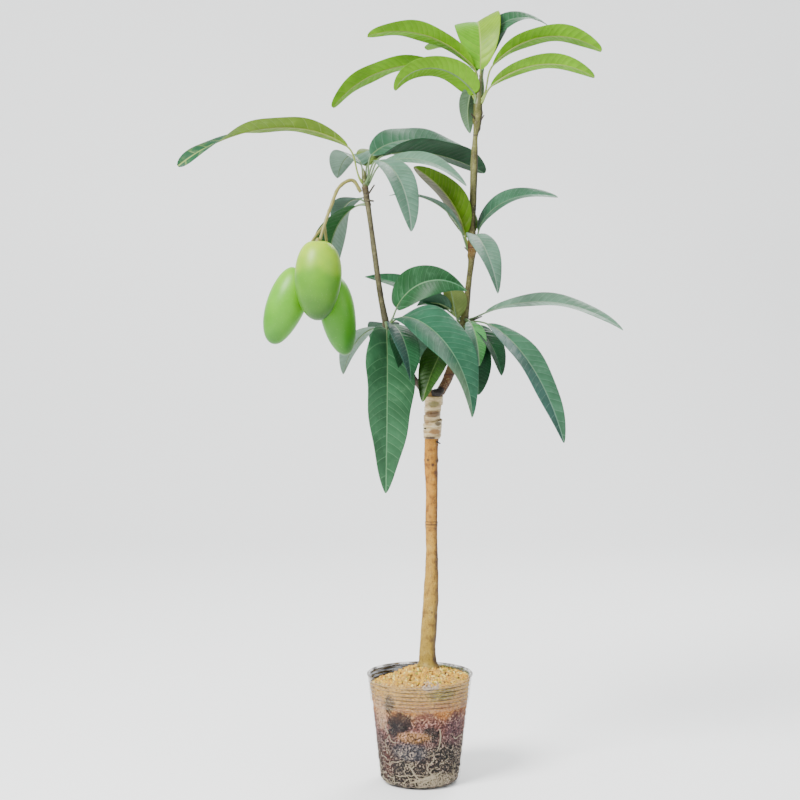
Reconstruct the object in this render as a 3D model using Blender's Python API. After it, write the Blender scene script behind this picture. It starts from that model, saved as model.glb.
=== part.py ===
"""A young grafted mango tree in a thin film pot, with three green fruit on one stalk.

Origin: the centre of the pot's flat underside. +Z is up, +X is the tree's right as it is usually
seen, and +Y is away from the viewer. Sizes below are in millimetres, and MM turns them to metres.
"""

import math
from typing import NamedTuple

import bpy
import numpy as np

MM = 0.001
GAP = 0.3  # between solids that touch on the real plant

# The pot: a thin film cup, a little wider at the rim, with ribs pressed round its upper part.
POT_HEIGHT = 147.0
POT_FOOT_RADIUS = 54.0
POT_RIM_RADIUS = 70.0
POT_WALL = 1.2
POT_FLOOR = 1.5
POT_CORNER = 9.0  # the rounded edge round the foot
INNER_CORNER = 5.4  # and how far in the flat of the floor starts
POT_SIDES = 32
RIB_COUNT = 7
RIB_PITCH = 5.0
RIB_HEIGHT = 0.9
LOWEST_RIB = 103.0
LIP = 1.6  # half the thickness of the rolled rim
LIP_NECK = 3.2  # how far below the rim the wall starts to roll out

# The root ball fills the pot and rises to a low mound at the trunk.
MOUND_TOP = 155.7
SOIL_EDGE = 142.0
MOUND_SLOPE = ((14.0, 4.0), (34.0, 9.0))  # in from the pot's wall, and above the soil's edge
MOUND_FLAT = 27.0  # the radius of the level top round the trunk

LIMB_SIDES = 12
RING_SPACING = 13.0
COLLAR_RINGS = 3
COLLAR_GAP = 0.4
COLLAR_WALL = 3.0
ROOT_DEPTH = 1.0  # how far a leaf stalk's root lies under its collar's outer face

TIP_LEAN = 0.08  # how much more the stem past a limb's tip leans to +X than the limb
TIP_TAPER = 0.55  # the share of its radius that this stem loses
TIP_RINGS = 6

STALK_HALF = 1.5  # a leaf stalk is a square rod, twice this across
LEAF_FOLD = 16.0  # degrees that each half of a blade is lifted from flat
LEAF_THICKNESS = 0.0105  # a share of the leaf's length
THINNEST_LEAF = 1.9
BLADE_STATIONS = (0.06, 0.2, 0.38, 0.56, 0.74, 0.89, 1.0)
BROADEST_EARLY = 0.75  # under 1 the blade is broadest before its middle
BLADE_FULLNESS = 0.7  # the smaller, the blunter both ends
FINE_STEPS = 60
SAMPLES_BETWEEN = (0.0, 0.33, 0.67)  # where a leaf is measured between one station and the next
LIMB_SAMPLE_SPACING = 3.0
CLEARANCE = 5.0  # a leaf that comes nearer than this to a limb or another mass is left out


class Station(NamedTuple):
    """One height on a limb: its centre there and its radius."""

    height: float
    x: float
    y: float
    radius: float


class Leaf(NamedTuple):
    """One leaf: millimetres and degrees."""

    up: float  # where it leaves the stem, above the whorl's foot
    around: float  # the way it sets out, seen from above: 0 is +X and 90 is +Y
    rise: float  # how steeply it sets out
    fall: float  # how steeply its tip ends
    length: float  # from stem to tip
    width: float
    petiole: float = 16.0
    bend: float = 1.0  # under 1 it arches early, over 1 late
    sway: float = 0.0  # how far it turns sideways by the tip
    roll: float = 0.0  # how far the blade leans to one side at its base
    twist: float = 0.0  # how much more it leans by the tip


class Whorl(NamedTuple):
    """One mass of foliage: a collar round a limb, or a short stem past its tip, with its leaves."""

    name: str
    limb: str
    foot: float
    top: float
    leaves: tuple
    colour: tuple


TRUNK = (
    Station(156.0, 10.7, 0.0, 15.0),
    Station(160.0, 10.6, 0.0, 12.6),
    Station(169.0, 10.2, 0.0, 11.4),
    Station(206.0, 12.0, 0.0, 10.7),
    Station(259.0, 15.2, 0.0, 9.9),
    Station(310.0, 15.9, 0.0, 8.0),
    Station(350.0, 15.2, 0.0, 8.1),
    Station(387.0, 15.8, 0.0, 8.0),
    Station(438.0, 14.8, 0.0, 9.2),
    Station(464.0, 15.6, 0.0, 9.6),
    Station(478.0, 17.0, 0.0, 11.2),
    Station(495.0, 16.4, 0.0, 9.4),
    Station(521.0, 19.3, 0.0, 11.6),
)
LEADER = (
    Station(521.3, 25.5, 0.0, 7.2),
    Station(540.0, 35.5, 0.0, 7.0),
    Station(575.0, 47.0, 0.0, 6.2),
    Station(614.0, 57.3, 0.0, 6.0),
    Station(640.0, 61.5, 0.0, 4.6),
    Station(665.0, 64.0, 0.0, 4.0),
    Station(702.0, 68.2, 0.0, 4.6),
    Station(716.0, 69.2, 0.0, 6.2),
    Station(741.0, 68.7, 0.0, 4.7),
    Station(780.0, 70.0, 0.0, 4.6),
    Station(845.0, 72.0, 0.0, 4.3),
    Station(862.0, 72.8, 0.0, 3.2),
    Station(880.0, 75.5, 0.0, 5.4),
    Station(905.0, 76.0, 0.0, 6.0),
)
SIDE_SHOOT = (
    Station(521.3, 8.5, 0.0, 5.4),
    Station(532.0, 0.0, -4.0, 5.2),
    Station(550.0, -13.0, -10.0, 4.8),
    Station(580.0, -31.0, -19.0, 4.6),
    Station(612.0, -43.5, -26.0, 4.9),
    Station(640.0, -49.8, -27.0, 4.1),
    Station(706.0, -59.7, -28.0, 3.7),
    Station(752.0, -65.9, -28.0, 3.4),
    Station(776.0, -69.5, -28.0, 3.8),
    Station(795.0, -72.5, -28.0, 4.6),
)
LIMBS = {"trunk": TRUNK, "leader": LEADER, "side_shoot": SIDE_SHOOT}

TAPE_FOOT = 462.0
TAPE_TOP = 516.0
TAPE_TURNS = 6
TAPE_WALL = 0.9
TAPE_RIDGE = 0.5

YOUNG_GREEN = (0.30, 0.50, 0.02)
MID_GREEN = (0.08, 0.22, 0.06)
DEEP_GREEN = (0.03, 0.12, 0.05)

WHORLS = (
    Whorl("leader_top_leaves", "leader", 905.3, 950.0, (
        Leaf(36, 197, 53, -20, 173, 40, 15, roll=25),
        Leaf(6, 211, 50, -66, 138, 43, 8, bend=1.5, sway=-40, roll=36),
        Leaf(24, 172, 37, -52, 220, 39, 25, roll=26),
        Leaf(32, 94, 100, -35, 131, 64, 12, bend=1.5, roll=-16),
        Leaf(34, 44, 86, -28, 186, 38, 16, bend=1.2, sway=-3, roll=-8),
        Leaf(34, 62, 52, 15, 125, 26, 20),
        Leaf(20, 352, 69, -37, 192, 40, 34, roll=-28),
        Leaf(4, 345, 53, -34, 172, 36, 24, roll=-28),
        Leaf(14, 100, -10, -88, 72, 28, 8, bend=0.5),
        Leaf(30, 130, 62, -10, 125, 44, 14),
    ), YOUNG_GREEN),
    Whorl("leader_middle_leaves", "leader", 708.0, 724.0, (
        Leaf(14, 350, 125, -14, 141, 42, 16, bend=0.48, sway=8, roll=28),
        Leaf(13, 268, 74, -80, 145, 36, 20, bend=0.46, sway=46),
        Leaf(12, 160, 70, 34, 134, 52, 14, roll=-45),
        Leaf(6, 188, 86, -12, 140, 28, 22, bend=0.9),
        Leaf(8, 105, 60, 5, 120, 40, 16),
    ), MID_GREEN),
    Whorl("leader_low_leaves", "leader", 608.0, 626.0, (
        Leaf(12, 350, 30, -37, 214, 39, 22, roll=25),
        Leaf(9, 315, 42, -71, 238, 45, 34, bend=0.34, sway=3, roll=12),
        Leaf(13, 290, 10, -85, 80, 28, 10, bend=0.5),
        Leaf(6, 318, 0, -78, 92, 40, 16, bend=0.6),
        Leaf(4, 290, -20, -88, 104, 44, 15, bend=0.6),
        Leaf(4, 235, -30, -66, 122, 42, 18),
        Leaf(13, 162, 42, 5, 146, 42, 20, roll=-30),
        Leaf(7, 205, 82, 60, 62, 40, 8, sway=40),
        Leaf(14, 170, 62, -28, 64, 39, 16, sway=15, roll=26),
        Leaf(6, 100, 10, -60, 130, 42, 16),
        Leaf(7, 70, 0, -70, 112, 42, 14),
    ), DEEP_GREEN),
    Whorl("side_top_leaves", "side_shoot", 795.3, 820.0, (
        Leaf(22, 192, 94, -38, 274, 44, 36, bend=0.42, roll=30, twist=-70),
        Leaf(14, 132, 74, -5, 66, 54, 14),
        Leaf(20, 52, 98, -21, 197, 49, 26, bend=0.35, sway=-36, roll=37),
        Leaf(22, 32, 76, -15, 196, 50, 26, bend=0.22, sway=-10, roll=55),
        Leaf(10, 352, 66, -46, 152, 34, 30, bend=0.6, roll=30),
        Leaf(18, 304, 78, -86, 168, 42, 33, bend=0.46, roll=7),
        Leaf(10, 75, 65, -10, 90, 40, 20),
    ), MID_GREEN),
    Whorl("side_middle_leaves", "side_shoot", 767.0, 781.0, (
        Leaf(5, 172, 14, -88, 122, 54, 10, bend=0.4, sway=-75),
        Leaf(8, 120, 25, -75, 105, 36, 14),
    ), DEEP_GREEN),
    Whorl("side_low_leaves", "side_shoot", 603.0, 620.0, (
        Leaf(15, 273, -37, -82, 240, 74, 12, bend=0.6, sway=-8, roll=-32),
        Leaf(6, 300, 5, -88, 88, 38, 10, bend=0.45),
        Leaf(11, 293, 23, -89, 107, 44, 9, bend=0.6, sway=9, roll=-12),
        Leaf(6, 134, 25, -75, 112, 38, 12, bend=0.6),
        Leaf(14, 343, 80, -40, 134, 62, 20, roll=45),
        Leaf(11, 311, 42, -88, 222, 72, 25, bend=0.7, sway=4, roll=18),
        Leaf(8, 95, 20, -75, 120, 44, 16),
        Leaf(7, 60, 10, -75, 110, 42, 14),
    ), DEEP_GREEN),
)


class Mango(NamedTuple):
    """One fruit: the middle of it, how far it leans, and its size."""

    x: float
    y: float
    z: float
    lean: float  # degrees that its tip swings to +X
    length: float
    width: float
    depth: float


STALK = (
    (-77.8, -29.5, 788),
    (-89, -33, 803),
    (-106, -42, 793),
    (-116, -54, 768),
    (-123, -64, 747),
    (-130, -73, 722),
)
STALK_ROOT = 2  # its first points, which lie by the shoot that bears it
STALK_RADIUS = 2.3
SPUR_RADIUS = 1.9
SPUR_FROM = (-124, -65, 744)
MANGOES = (
    Mango(-132.0, -75.0, 673.0, 0.0, 104.0, 60.0, 56.0),
    Mango(-176.0, -38.0, 640.0, -20.0, 106.0, 51.0, 50.0),
    Mango(-108.0, -34.0, 628.0, 12.0, 108.0, 46.0, 46.0),
)
MANGO_SIDES = 14
MANGO_RINGS = 9
MANGO_BLUNTNESS = 0.9
MANGO_SHOULDER = 0.12  # how much broader it is near its stalk than near its tip
SPUR_REACH = 0.4  # the share of a mango's length from its middle to its spur's end
SPUR_ARCH = 6.0


def clear_scene():
    for obj in list(bpy.data.objects):
        bpy.data.objects.remove(obj, do_unlink=True)


def finish(name, colour, roughness, metallic=0.0):
    """A plain Principled material."""
    material = bpy.data.materials.new(name)
    material.use_nodes = True
    shader = material.node_tree.nodes["Principled BSDF"]
    shader.inputs["Base Color"].default_value = (*colour, 1.0)
    shader.inputs["Roughness"].default_value = roughness
    shader.inputs["Metallic"].default_value = metallic
    return material


def mesh_object(name, points, faces):
    """An object of these points, which are in millimetres, linked to the scene."""
    mesh = bpy.data.meshes.new(name)
    mesh.from_pydata((np.asarray(points) * MM).tolist(), [], faces)
    mesh.update()
    obj = bpy.data.objects.new(name, mesh)
    bpy.context.scene.collection.objects.link(obj)
    return obj


def sides_between(rings, sides, closed=False):
    """Quads between each ring of points and the next, and past the last to the first when closed."""
    faces = []
    for i in range(rings if closed else rings - 1):
        low = i * sides
        high = (i + 1) % rings * sides
        for k in range(sides):
            after = (k + 1) % sides
            faces.append((low + k, low + after, high + after, high + k))
    return faces


def tube(rings):
    """Points and faces of a closed rod through these rings, each an array of as many points."""
    sides = len(rings[0])
    faces = sides_between(len(rings), sides)
    last = (len(rings) - 1) * sides
    faces.append(tuple(reversed(range(sides))))
    faces.append(tuple(range(last, last + sides)))
    return np.concatenate(rings), faces


def circle(radius, sides, squash=1.0):
    turn = np.arange(sides) * 2 * math.pi / sides
    return np.stack([radius * np.cos(turn), radius * squash * np.sin(turn)], axis=1)


def level_ring(x, y, z, radius, sides):
    flat = circle(radius, sides)
    return np.column_stack([flat[:, 0] + x, flat[:, 1] + y, np.full(sides, z)])


def turned(name, profile, sides):
    """A solid turned round the Z axis from (radius, height) points that start and end on the axis."""
    rings = [level_ring(0.0, 0.0, z, r, sides) for r, z in profile[1:-1]]
    points = np.concatenate([*rings, [(0, 0, profile[0][1]), (0, 0, profile[-1][1])]])
    faces = sides_between(len(rings), sides)
    first_pole = len(points) - 2
    last = (len(rings) - 1) * sides
    for k in range(sides):
        after = (k + 1) % sides
        faces.append((first_pole, after, k))
        faces.append((first_pole + 1, last + k, last + after))
    return mesh_object(name, points, faces)


def smooth_through(knots, values, at):
    """A smooth curve through the values at the knots, read at these places."""
    knots = np.asarray(knots, float)
    values = np.asarray(values, float)
    slopes = np.gradient(values, knots, axis=0)
    at = np.atleast_1d(at)
    i = np.clip(np.searchsorted(knots, at) - 1, 0, len(knots) - 2)
    span = knots[i + 1] - knots[i]
    t = ((at - knots[i]) / span)[:, None]
    span = span[:, None]
    start, end = values[i], values[i + 1]
    ease = t * t * (3 - 2 * t)
    return (
        start + (end - start) * ease
        + slopes[i] * span * t * (1 - t) ** 2
        - slopes[i + 1] * span * t * t * (1 - t)
    )


def limb_at(limb, heights):
    """Centre x, centre y and radius of a limb at these heights."""
    stations = np.array(limb)
    inside = np.clip(heights, stations[0, 0], stations[-1, 0])
    return smooth_through(stations[:, 0], stations[:, 1:], inside)


def limb_rings(limb, heights, added_radius=0.0):
    rows = limb_at(limb, heights)
    return [level_ring(x, y, z, r + added_radius, LIMB_SIDES) for z, (x, y, r) in zip(heights, rows)]


def pot_radius(height):
    return POT_FOOT_RADIUS + (POT_RIM_RADIUS - POT_FOOT_RADIUS) * height / POT_HEIGHT


def make_pot():
    corner = []
    for step in range(4):
        turn = math.radians(30 * step)
        radius = pot_radius(POT_CORNER) - POT_CORNER * (1 - math.sin(turn))
        corner.append((radius, POT_CORNER * (1 - math.cos(turn))))
    wall = []
    for rib in range(RIB_COUNT):
        middle = LOWEST_RIB + rib * RIB_PITCH
        wall.append((pot_radius(middle - RIB_PITCH / 2), middle - RIB_PITCH / 2))
        wall.append((pot_radius(middle) + RIB_HEIGHT, middle))
    lip = [
        (pot_radius(POT_HEIGHT - LIP_NECK), POT_HEIGHT - LIP_NECK),
        (POT_RIM_RADIUS + LIP, POT_HEIGHT - LIP),
        (POT_RIM_RADIUS, POT_HEIGHT),
        (POT_RIM_RADIUS - POT_WALL, POT_HEIGHT - LIP),
    ]
    inside = [
        (pot_radius(LOWEST_RIB) - POT_WALL, LOWEST_RIB),
        (pot_radius(POT_CORNER) - POT_WALL, POT_CORNER),
        (pot_radius(POT_CORNER) - INNER_CORNER, POT_FLOOR),
    ]
    profile = [(0, 0), *corner, *wall, *lip, *inside, (0, POT_FLOOR)]
    pot = turned("pot", profile, POT_SIDES)
    pot.data.materials.append(finish("clear film", (0.45, 0.40, 0.36), 0.35))


def make_root_ball():
    inset = POT_WALL + GAP
    foot = POT_FLOOR + GAP
    edge = pot_radius(SOIL_EDGE) - inset
    profile = [
        (0, foot),
        (pot_radius(POT_CORNER) - INNER_CORNER - 2 * GAP, foot),
        (pot_radius(POT_CORNER) - inset, POT_CORNER),
        (pot_radius(LOWEST_RIB) - inset, LOWEST_RIB),
        (edge, SOIL_EDGE),
        *((edge - inward, SOIL_EDGE + rise) for inward, rise in MOUND_SLOPE),
        (MOUND_FLAT, MOUND_TOP),
        (0, MOUND_TOP),
    ]
    ball = turned("root_ball", profile, POT_SIDES)
    ball.data.materials.append(finish("root ball", (0.16, 0.09, 0.06), 0.95))


def tape_heights():
    return np.linspace(TAPE_FOOT, TAPE_TOP, 2 * TAPE_TURNS + 1)


def collar_heights(whorl):
    return np.linspace(whorl.foot, whorl.top, COLLAR_RINGS)


def limb_heights(name):
    """Where a limb has its rings: evenly spaced, and level with those of each collar round it."""
    limb = LIMBS[name]
    lowest, highest = limb[0].height, limb[-1].height
    closer = [collar_heights(w) for w in WHORLS if w.limb == name and w.top < highest]
    if name == "trunk":
        closer.append(tape_heights())
    even = np.linspace(lowest, highest, round((highest - lowest) / RING_SPACING) + 1)
    for heights in closer:
        beyond = (even < heights[0] - RING_SPACING / 3) | (even > heights[-1] + RING_SPACING / 3)
        even = np.concatenate([even[beyond | (even == lowest) | (even == highest)], heights])
    return np.unique(even)


def make_limb(name, colour):
    obj = mesh_object(name, *tube(limb_rings(LIMBS[name], limb_heights(name))))
    obj.data.materials.append(finish(name + " bark", colour, 0.85))


def ring_round(limb, heights, inner_added, outer_added):
    """Points and faces of a closed ring round a limb."""
    outer = limb_rings(limb, heights, outer_added)
    inner = limb_rings(limb, heights, inner_added)
    rings = outer + inner[::-1]
    return np.concatenate(rings), sides_between(len(rings), LIMB_SIDES, closed=True)


def make_tape():
    """The grafting film: a sleeve round the trunk whose turns show as ridges."""
    heights = tape_heights()
    ridge = np.where(np.arange(len(heights)) % 2, TAPE_RIDGE, 0.0)
    outer = []
    for height, extra in zip(heights, ridge):
        outer += limb_rings(TRUNK, [height], COLLAR_GAP + TAPE_WALL + extra)
    inner = limb_rings(TRUNK, heights, COLLAR_GAP)
    rings = outer + inner[::-1]
    points, faces = np.concatenate(rings), sides_between(len(rings), LIMB_SIDES, closed=True)
    tape = mesh_object("graft_tape", points, faces)
    tape.data.materials.append(finish("grafting film", (0.75, 0.66, 0.52), 0.35))


def leaf_path(leaf, start):
    """Fine steps along a leaf: share of its length, point, direction, side and upper face."""
    share = (np.arange(FINE_STEPS) + 0.5) / FINE_STEPS
    around = np.radians(leaf.around + leaf.sway * share)
    climb = np.radians(leaf.rise + (leaf.fall - leaf.rise) * share**leaf.bend)
    lean = np.radians(leaf.roll + leaf.twist * share)
    ahead = np.stack([np.cos(climb) * np.cos(around), np.cos(climb) * np.sin(around), np.sin(climb)], axis=1)
    level = np.stack([-np.sin(around), np.cos(around), np.zeros(FINE_STEPS)], axis=1)
    upper = np.cross(ahead, level)
    side = level * np.cos(lean)[:, None] + upper * np.sin(lean)[:, None]
    face = np.cross(ahead, side)
    points = np.asarray(start) + np.cumsum(ahead, axis=0) * leaf.length / FINE_STEPS
    return share, points, ahead, side, face


def blade_half_width(leaf, along):
    """Half the blade's width at a share of the blade's length: broad before the middle, pointed."""
    place = np.clip(along, 0, 1) ** BROADEST_EARLY
    return leaf.width / 2 * np.sin(math.pi * place) ** BLADE_FULLNESS


def leaf_rings(leaf, start):
    """Six-point rings along a leaf: a square stalk that opens into a folded blade."""
    share, points, _, side, face = leaf_path(leaf, start)
    blade = leaf.length - leaf.petiole
    places = [0.0, *((leaf.petiole + blade * np.array(BLADE_STATIONS)) / leaf.length)]
    thickness = max(THINNEST_LEAF, LEAF_THICKNESS * leaf.length)
    rings = []
    for place in places:
        middle = start if place == 0 else [np.interp(place, share, points[:, axis]) for axis in range(3)]
        across = np.array([np.interp(place, share, side[:, axis]) for axis in range(3)])
        above = np.array([np.interp(place, share, face[:, axis]) for axis in range(3)])
        along = (place * leaf.length - leaf.petiole) / blade
        half = max(STALK_HALF, blade_half_width(leaf, along))
        fold = math.radians(LEAF_FOLD) * min(1.0, half / STALK_HALF - 1)
        depth = max(thickness, 2 * STALK_HALF * (1 - along)) / 2
        out = across * half * math.cos(fold)
        lift = above * half * math.sin(fold)
        up = above * depth
        offsets = (out + lift + up, up, lift + up - out, lift - up - out, -up, out + lift - up)
        rings.append(np.array([np.asarray(middle) + offset for offset in offsets]))
    return rings


def samples(rings):
    """Points spread over a leaf past its root, for measuring how near it comes to other things."""
    spread = []
    for low, high in zip(rings[1:], rings[2:]):
        for share in SAMPLES_BETWEEN:
            ring = low * (1 - share) + high * share
            spread += [ring[0], (ring[0] + ring[1]) / 2, ring[1], (ring[1] + ring[2]) / 2, ring[2]]
    return np.array(spread)


def limb_samples():
    """Points on every limb's centre line, with its radius there."""
    rows = []
    for limb in LIMBS.values():
        heights = np.arange(limb[0].height, limb[-1].height, LIMB_SAMPLE_SPACING)
        rows.append(np.column_stack([limb_at(limb, heights), heights]))
    x, y, radius, z = np.concatenate(rows).T
    return np.column_stack([x, y, z]), radius


def comes_near(points, others, reach):
    """Whether any point lies within reach of any of the others."""
    for point, limit in zip(others, np.broadcast_to(reach, len(others))):
        if (np.linalg.norm(points - point, axis=1) < limit).any():
            return True
    return False


def joined(name, pieces):
    """One solid of many overlapping ones: a Boolean union on a collection, applied."""
    first, *rest = pieces
    others = bpy.data.collections.new(name + " pieces")
    for obj in rest:
        bpy.context.scene.collection.objects.unlink(obj)
        others.objects.link(obj)
    union = first.modifiers.new("fuse", "BOOLEAN")
    union.operation = "UNION"
    union.operand_type = "COLLECTION"
    union.collection = others
    union.solver = "MANIFOLD"
    first.name = name
    graph = bpy.context.evaluated_depsgraph_get()
    mesh = bpy.data.meshes.new_from_object(first.evaluated_get(graph))
    first.modifiers.clear()
    first.data = mesh
    for obj in rest:
        bpy.data.objects.remove(obj, do_unlink=True)
    bpy.data.collections.remove(others)
    return first


def tip_axis(limb, height):
    """The middle of the stem past a limb's tip, at a height."""
    before, end = limb[-2:]
    lean = (end.x - before.x) / (end.height - before.height) + TIP_LEAN
    return end.x + lean * (height - end.height), end.y


def whorl_stem(whorl):
    """The mass's stem: a collar where the limb runs on, else a taper standing on the limb's tip."""
    limb = LIMBS[whorl.limb]
    if whorl.top < limb[-1].height:
        return ring_round(limb, collar_heights(whorl), COLLAR_GAP, COLLAR_GAP + COLLAR_WALL)
    rings = []
    for share in np.linspace(0, 1, TIP_RINGS):
        height = whorl.foot + share * (whorl.top - whorl.foot)
        radius = limb[-1].radius * (1 - TIP_TAPER * share)
        rings.append(level_ring(*tip_axis(limb, height), height, radius, LIMB_SIDES))
    return tube(rings)


def leaf_start(whorl, leaf):
    """Where a leaf's stalk is rooted: inside the collar's wall, or on the axis of the tip's stem."""
    limb = LIMBS[whorl.limb]
    height = whorl.foot + leaf.up
    if whorl.top < limb[-1].height:
        (x, y, radius), = limb_at(limb, [height])
        reach = radius + COLLAR_GAP + COLLAR_WALL - ROOT_DEPTH
        turn = math.radians(leaf.around)
        return np.array([x + reach * math.cos(turn), y + reach * math.sin(turn), height])
    return np.array([*tip_axis(limb, height), height])


def make_whorl(whorl, limbs, taken):
    """One mass of foliage. A leaf that would touch a limb, the fruit or another mass is left out."""
    pieces = [mesh_object(whorl.name + " stem", *whorl_stem(whorl))]
    kept = []
    for number, leaf in enumerate(whorl.leaves):
        rings = leaf_rings(leaf, leaf_start(whorl, leaf))
        spread = samples(rings)
        if comes_near(spread, limbs[0], limbs[1] + CLEARANCE / 2) or comes_near(spread, taken, CLEARANCE):
            print("left out:", whorl.name, number)
            continue
        pieces.append(mesh_object(f"{whorl.name} {number}", *tube(rings)))
        kept.append(spread)
    mass = joined(whorl.name, pieces)
    mass.data.materials.clear()
    mass.data.materials.append(finish(whorl.name, whorl.colour, 0.5))
    return np.concatenate([taken, *kept])


def rod(path, radius, sides=6):
    """A round rod through these points."""
    path = np.asarray(path, float)
    ahead = np.gradient(path, axis=0)
    ahead /= np.linalg.norm(ahead, axis=1)[:, None]
    flat = circle(radius, sides)
    rings = []
    for point, way in zip(path, ahead):
        across = np.cross(way, (0.0, 1.0, 0.0))
        across /= np.linalg.norm(across)
        other = np.cross(way, across)
        rings.append(point + flat[:, :1] * across + flat[:, 1:] * other)
    return tube(rings)


def mango_points(mango):
    """A mango: broad below its shoulder, narrower to a blunt tip, leaning as it hangs."""
    rings = []
    tilt = math.radians(mango.lean)
    down = np.array([math.sin(tilt), 0.0, -math.cos(tilt)])
    across = np.array([math.cos(tilt), 0.0, math.sin(tilt)])
    for ring in range(1, MANGO_RINGS + 1):
        turn = math.pi * ring / (MANGO_RINGS + 1)
        along = -math.cos(turn) * mango.length / 2
        swell = math.sin(turn) ** MANGO_BLUNTNESS * (1 + MANGO_SHOULDER * math.cos(turn))
        flat = circle(1.0, MANGO_SIDES)
        middle = np.array([mango.x, mango.y, mango.z]) + down * along
        depth = flat[:, 1:] * np.array([0.0, -1.0, 0.0]) * mango.depth / 2 * swell
        rings.append(middle + flat[:, :1] * across * mango.width / 2 * swell + depth)
    return rings, down


def make_fruit():
    """Three mangoes fused to their stalk."""
    pieces = [mesh_object("stalk", *rod(STALK, STALK_RADIUS))]
    spread = [np.asarray(STALK[STALK_ROOT:], float)]
    for number, mango in enumerate(MANGOES):
        rings, down = mango_points(mango)
        pieces.append(mesh_object(f"mango {number}", *tube(rings)))
        spread += rings
        if number:
            top = np.array([mango.x, mango.y, mango.z]) - down * mango.length * SPUR_REACH
            knee = (np.array(SPUR_FROM) + top) / 2 + (0, 0, SPUR_ARCH)
            pieces.append(mesh_object(f"spur {number}", *rod((SPUR_FROM, knee, top), SPUR_RADIUS)))
    cluster = joined("fruit_cluster", pieces)
    cluster.data.materials.clear()
    cluster.data.materials.append(finish("green mango skin", (0.30, 0.55, 0.12), 0.4))
    return np.concatenate(spread)


def main():
    clear_scene()
    make_pot()
    make_root_ball()
    make_limb("trunk", (0.43, 0.26, 0.09))
    make_limb("leader", (0.20, 0.14, 0.06))
    make_limb("side_shoot", (0.17, 0.15, 0.06))
    make_tape()
    taken = make_fruit()
    limbs = limb_samples()
    for whorl in WHORLS:
        taken = make_whorl(whorl, limbs, taken)


main()
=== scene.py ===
"""The looks of a young grafted mango tree in a clear film pot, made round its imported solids.

Run it as a script: it dresses each solid with a finer piece and sets a plain stage. Lengths are in
metres. The tables of limbs and leaves are in millimetres and degrees, like those of the solids.
"""

import math
import random
from typing import NamedTuple

import bpy
import numpy as np
from bpy.props import FloatProperty, IntProperty, PointerProperty
from bpy.types import Operator, Panel, PropertyGroup
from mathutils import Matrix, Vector, noise


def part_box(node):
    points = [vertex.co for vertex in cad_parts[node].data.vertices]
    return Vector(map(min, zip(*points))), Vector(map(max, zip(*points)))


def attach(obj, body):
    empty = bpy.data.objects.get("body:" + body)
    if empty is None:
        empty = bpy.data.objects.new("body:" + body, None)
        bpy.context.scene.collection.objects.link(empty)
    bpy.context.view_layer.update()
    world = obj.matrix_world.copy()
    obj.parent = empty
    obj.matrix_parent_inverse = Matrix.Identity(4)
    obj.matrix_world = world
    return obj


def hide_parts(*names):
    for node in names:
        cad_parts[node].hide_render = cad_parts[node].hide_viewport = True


bl_info = {
    "name": "Grafted mango tree",
    "version": (1, 0, 0),
    "blender": (4, 5, 0),
    "location": "View3D > Sidebar > Mango tree",
    "description": "Dresses the solids of a young potted mango tree: leaves, bark, fruit, pot and soil",
    "category": "Add Mesh",
}

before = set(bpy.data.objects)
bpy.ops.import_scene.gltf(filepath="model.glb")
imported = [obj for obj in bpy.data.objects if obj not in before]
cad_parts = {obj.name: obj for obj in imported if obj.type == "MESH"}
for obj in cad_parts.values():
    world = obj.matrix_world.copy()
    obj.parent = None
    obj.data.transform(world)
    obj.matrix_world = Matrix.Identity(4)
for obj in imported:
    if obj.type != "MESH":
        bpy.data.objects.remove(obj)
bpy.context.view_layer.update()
BODY = "root"
MM = 0.001


def linear(hex_colour):
    """An sRGB hex colour as the linear values that Blender's sockets hold."""
    values = [int(hex_colour[i : i + 2], 16) / 255 for i in (1, 3, 5)]
    return tuple(v / 12.92 if v <= 0.04045 else ((v + 0.055) / 1.055) ** 2.4 for v in values)


# Limbs and leaves, by the same rule as the solids.


class Station(NamedTuple):
    """One height on a limb: its centre there and its radius."""

    height: float
    x: float
    y: float
    radius: float


class Leaf(NamedTuple):
    """One leaf: where it leaves the stem, how it sets out and ends, its size, and its colours.

    Up is its height over the foot of its whorl. Around is the way it faces, and rise and fall are its
    climb at the stalk and at the tip, in degrees. From the share turned of the blade on, one half of
    it shows the colours of the kind named in other: painted light and shade, standing for the light
    and shade that fall differently on the two halves of the folded blade.
    """

    up: float
    around: float
    rise: float
    fall: float
    length: float
    width: float
    petiole: float = 16.0
    kind: str = "mature"
    bend: float = 1.0
    sway: float = 0.0
    roll: float = 0.0
    twist: float = 0.0
    curl: float = 0.0
    other: str = ""
    turned: float = 0.0


class Whorl(NamedTuple):
    """One mass of foliage on a limb."""

    node: str
    limb: str
    foot: float
    top: float
    leaves: tuple


class TipStem(NamedTuple):
    """The soft stem past a limb's end: its radius at foot and top, its top's height, and its bud."""

    thick: float
    thin: float
    top: float
    bud: float


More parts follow.
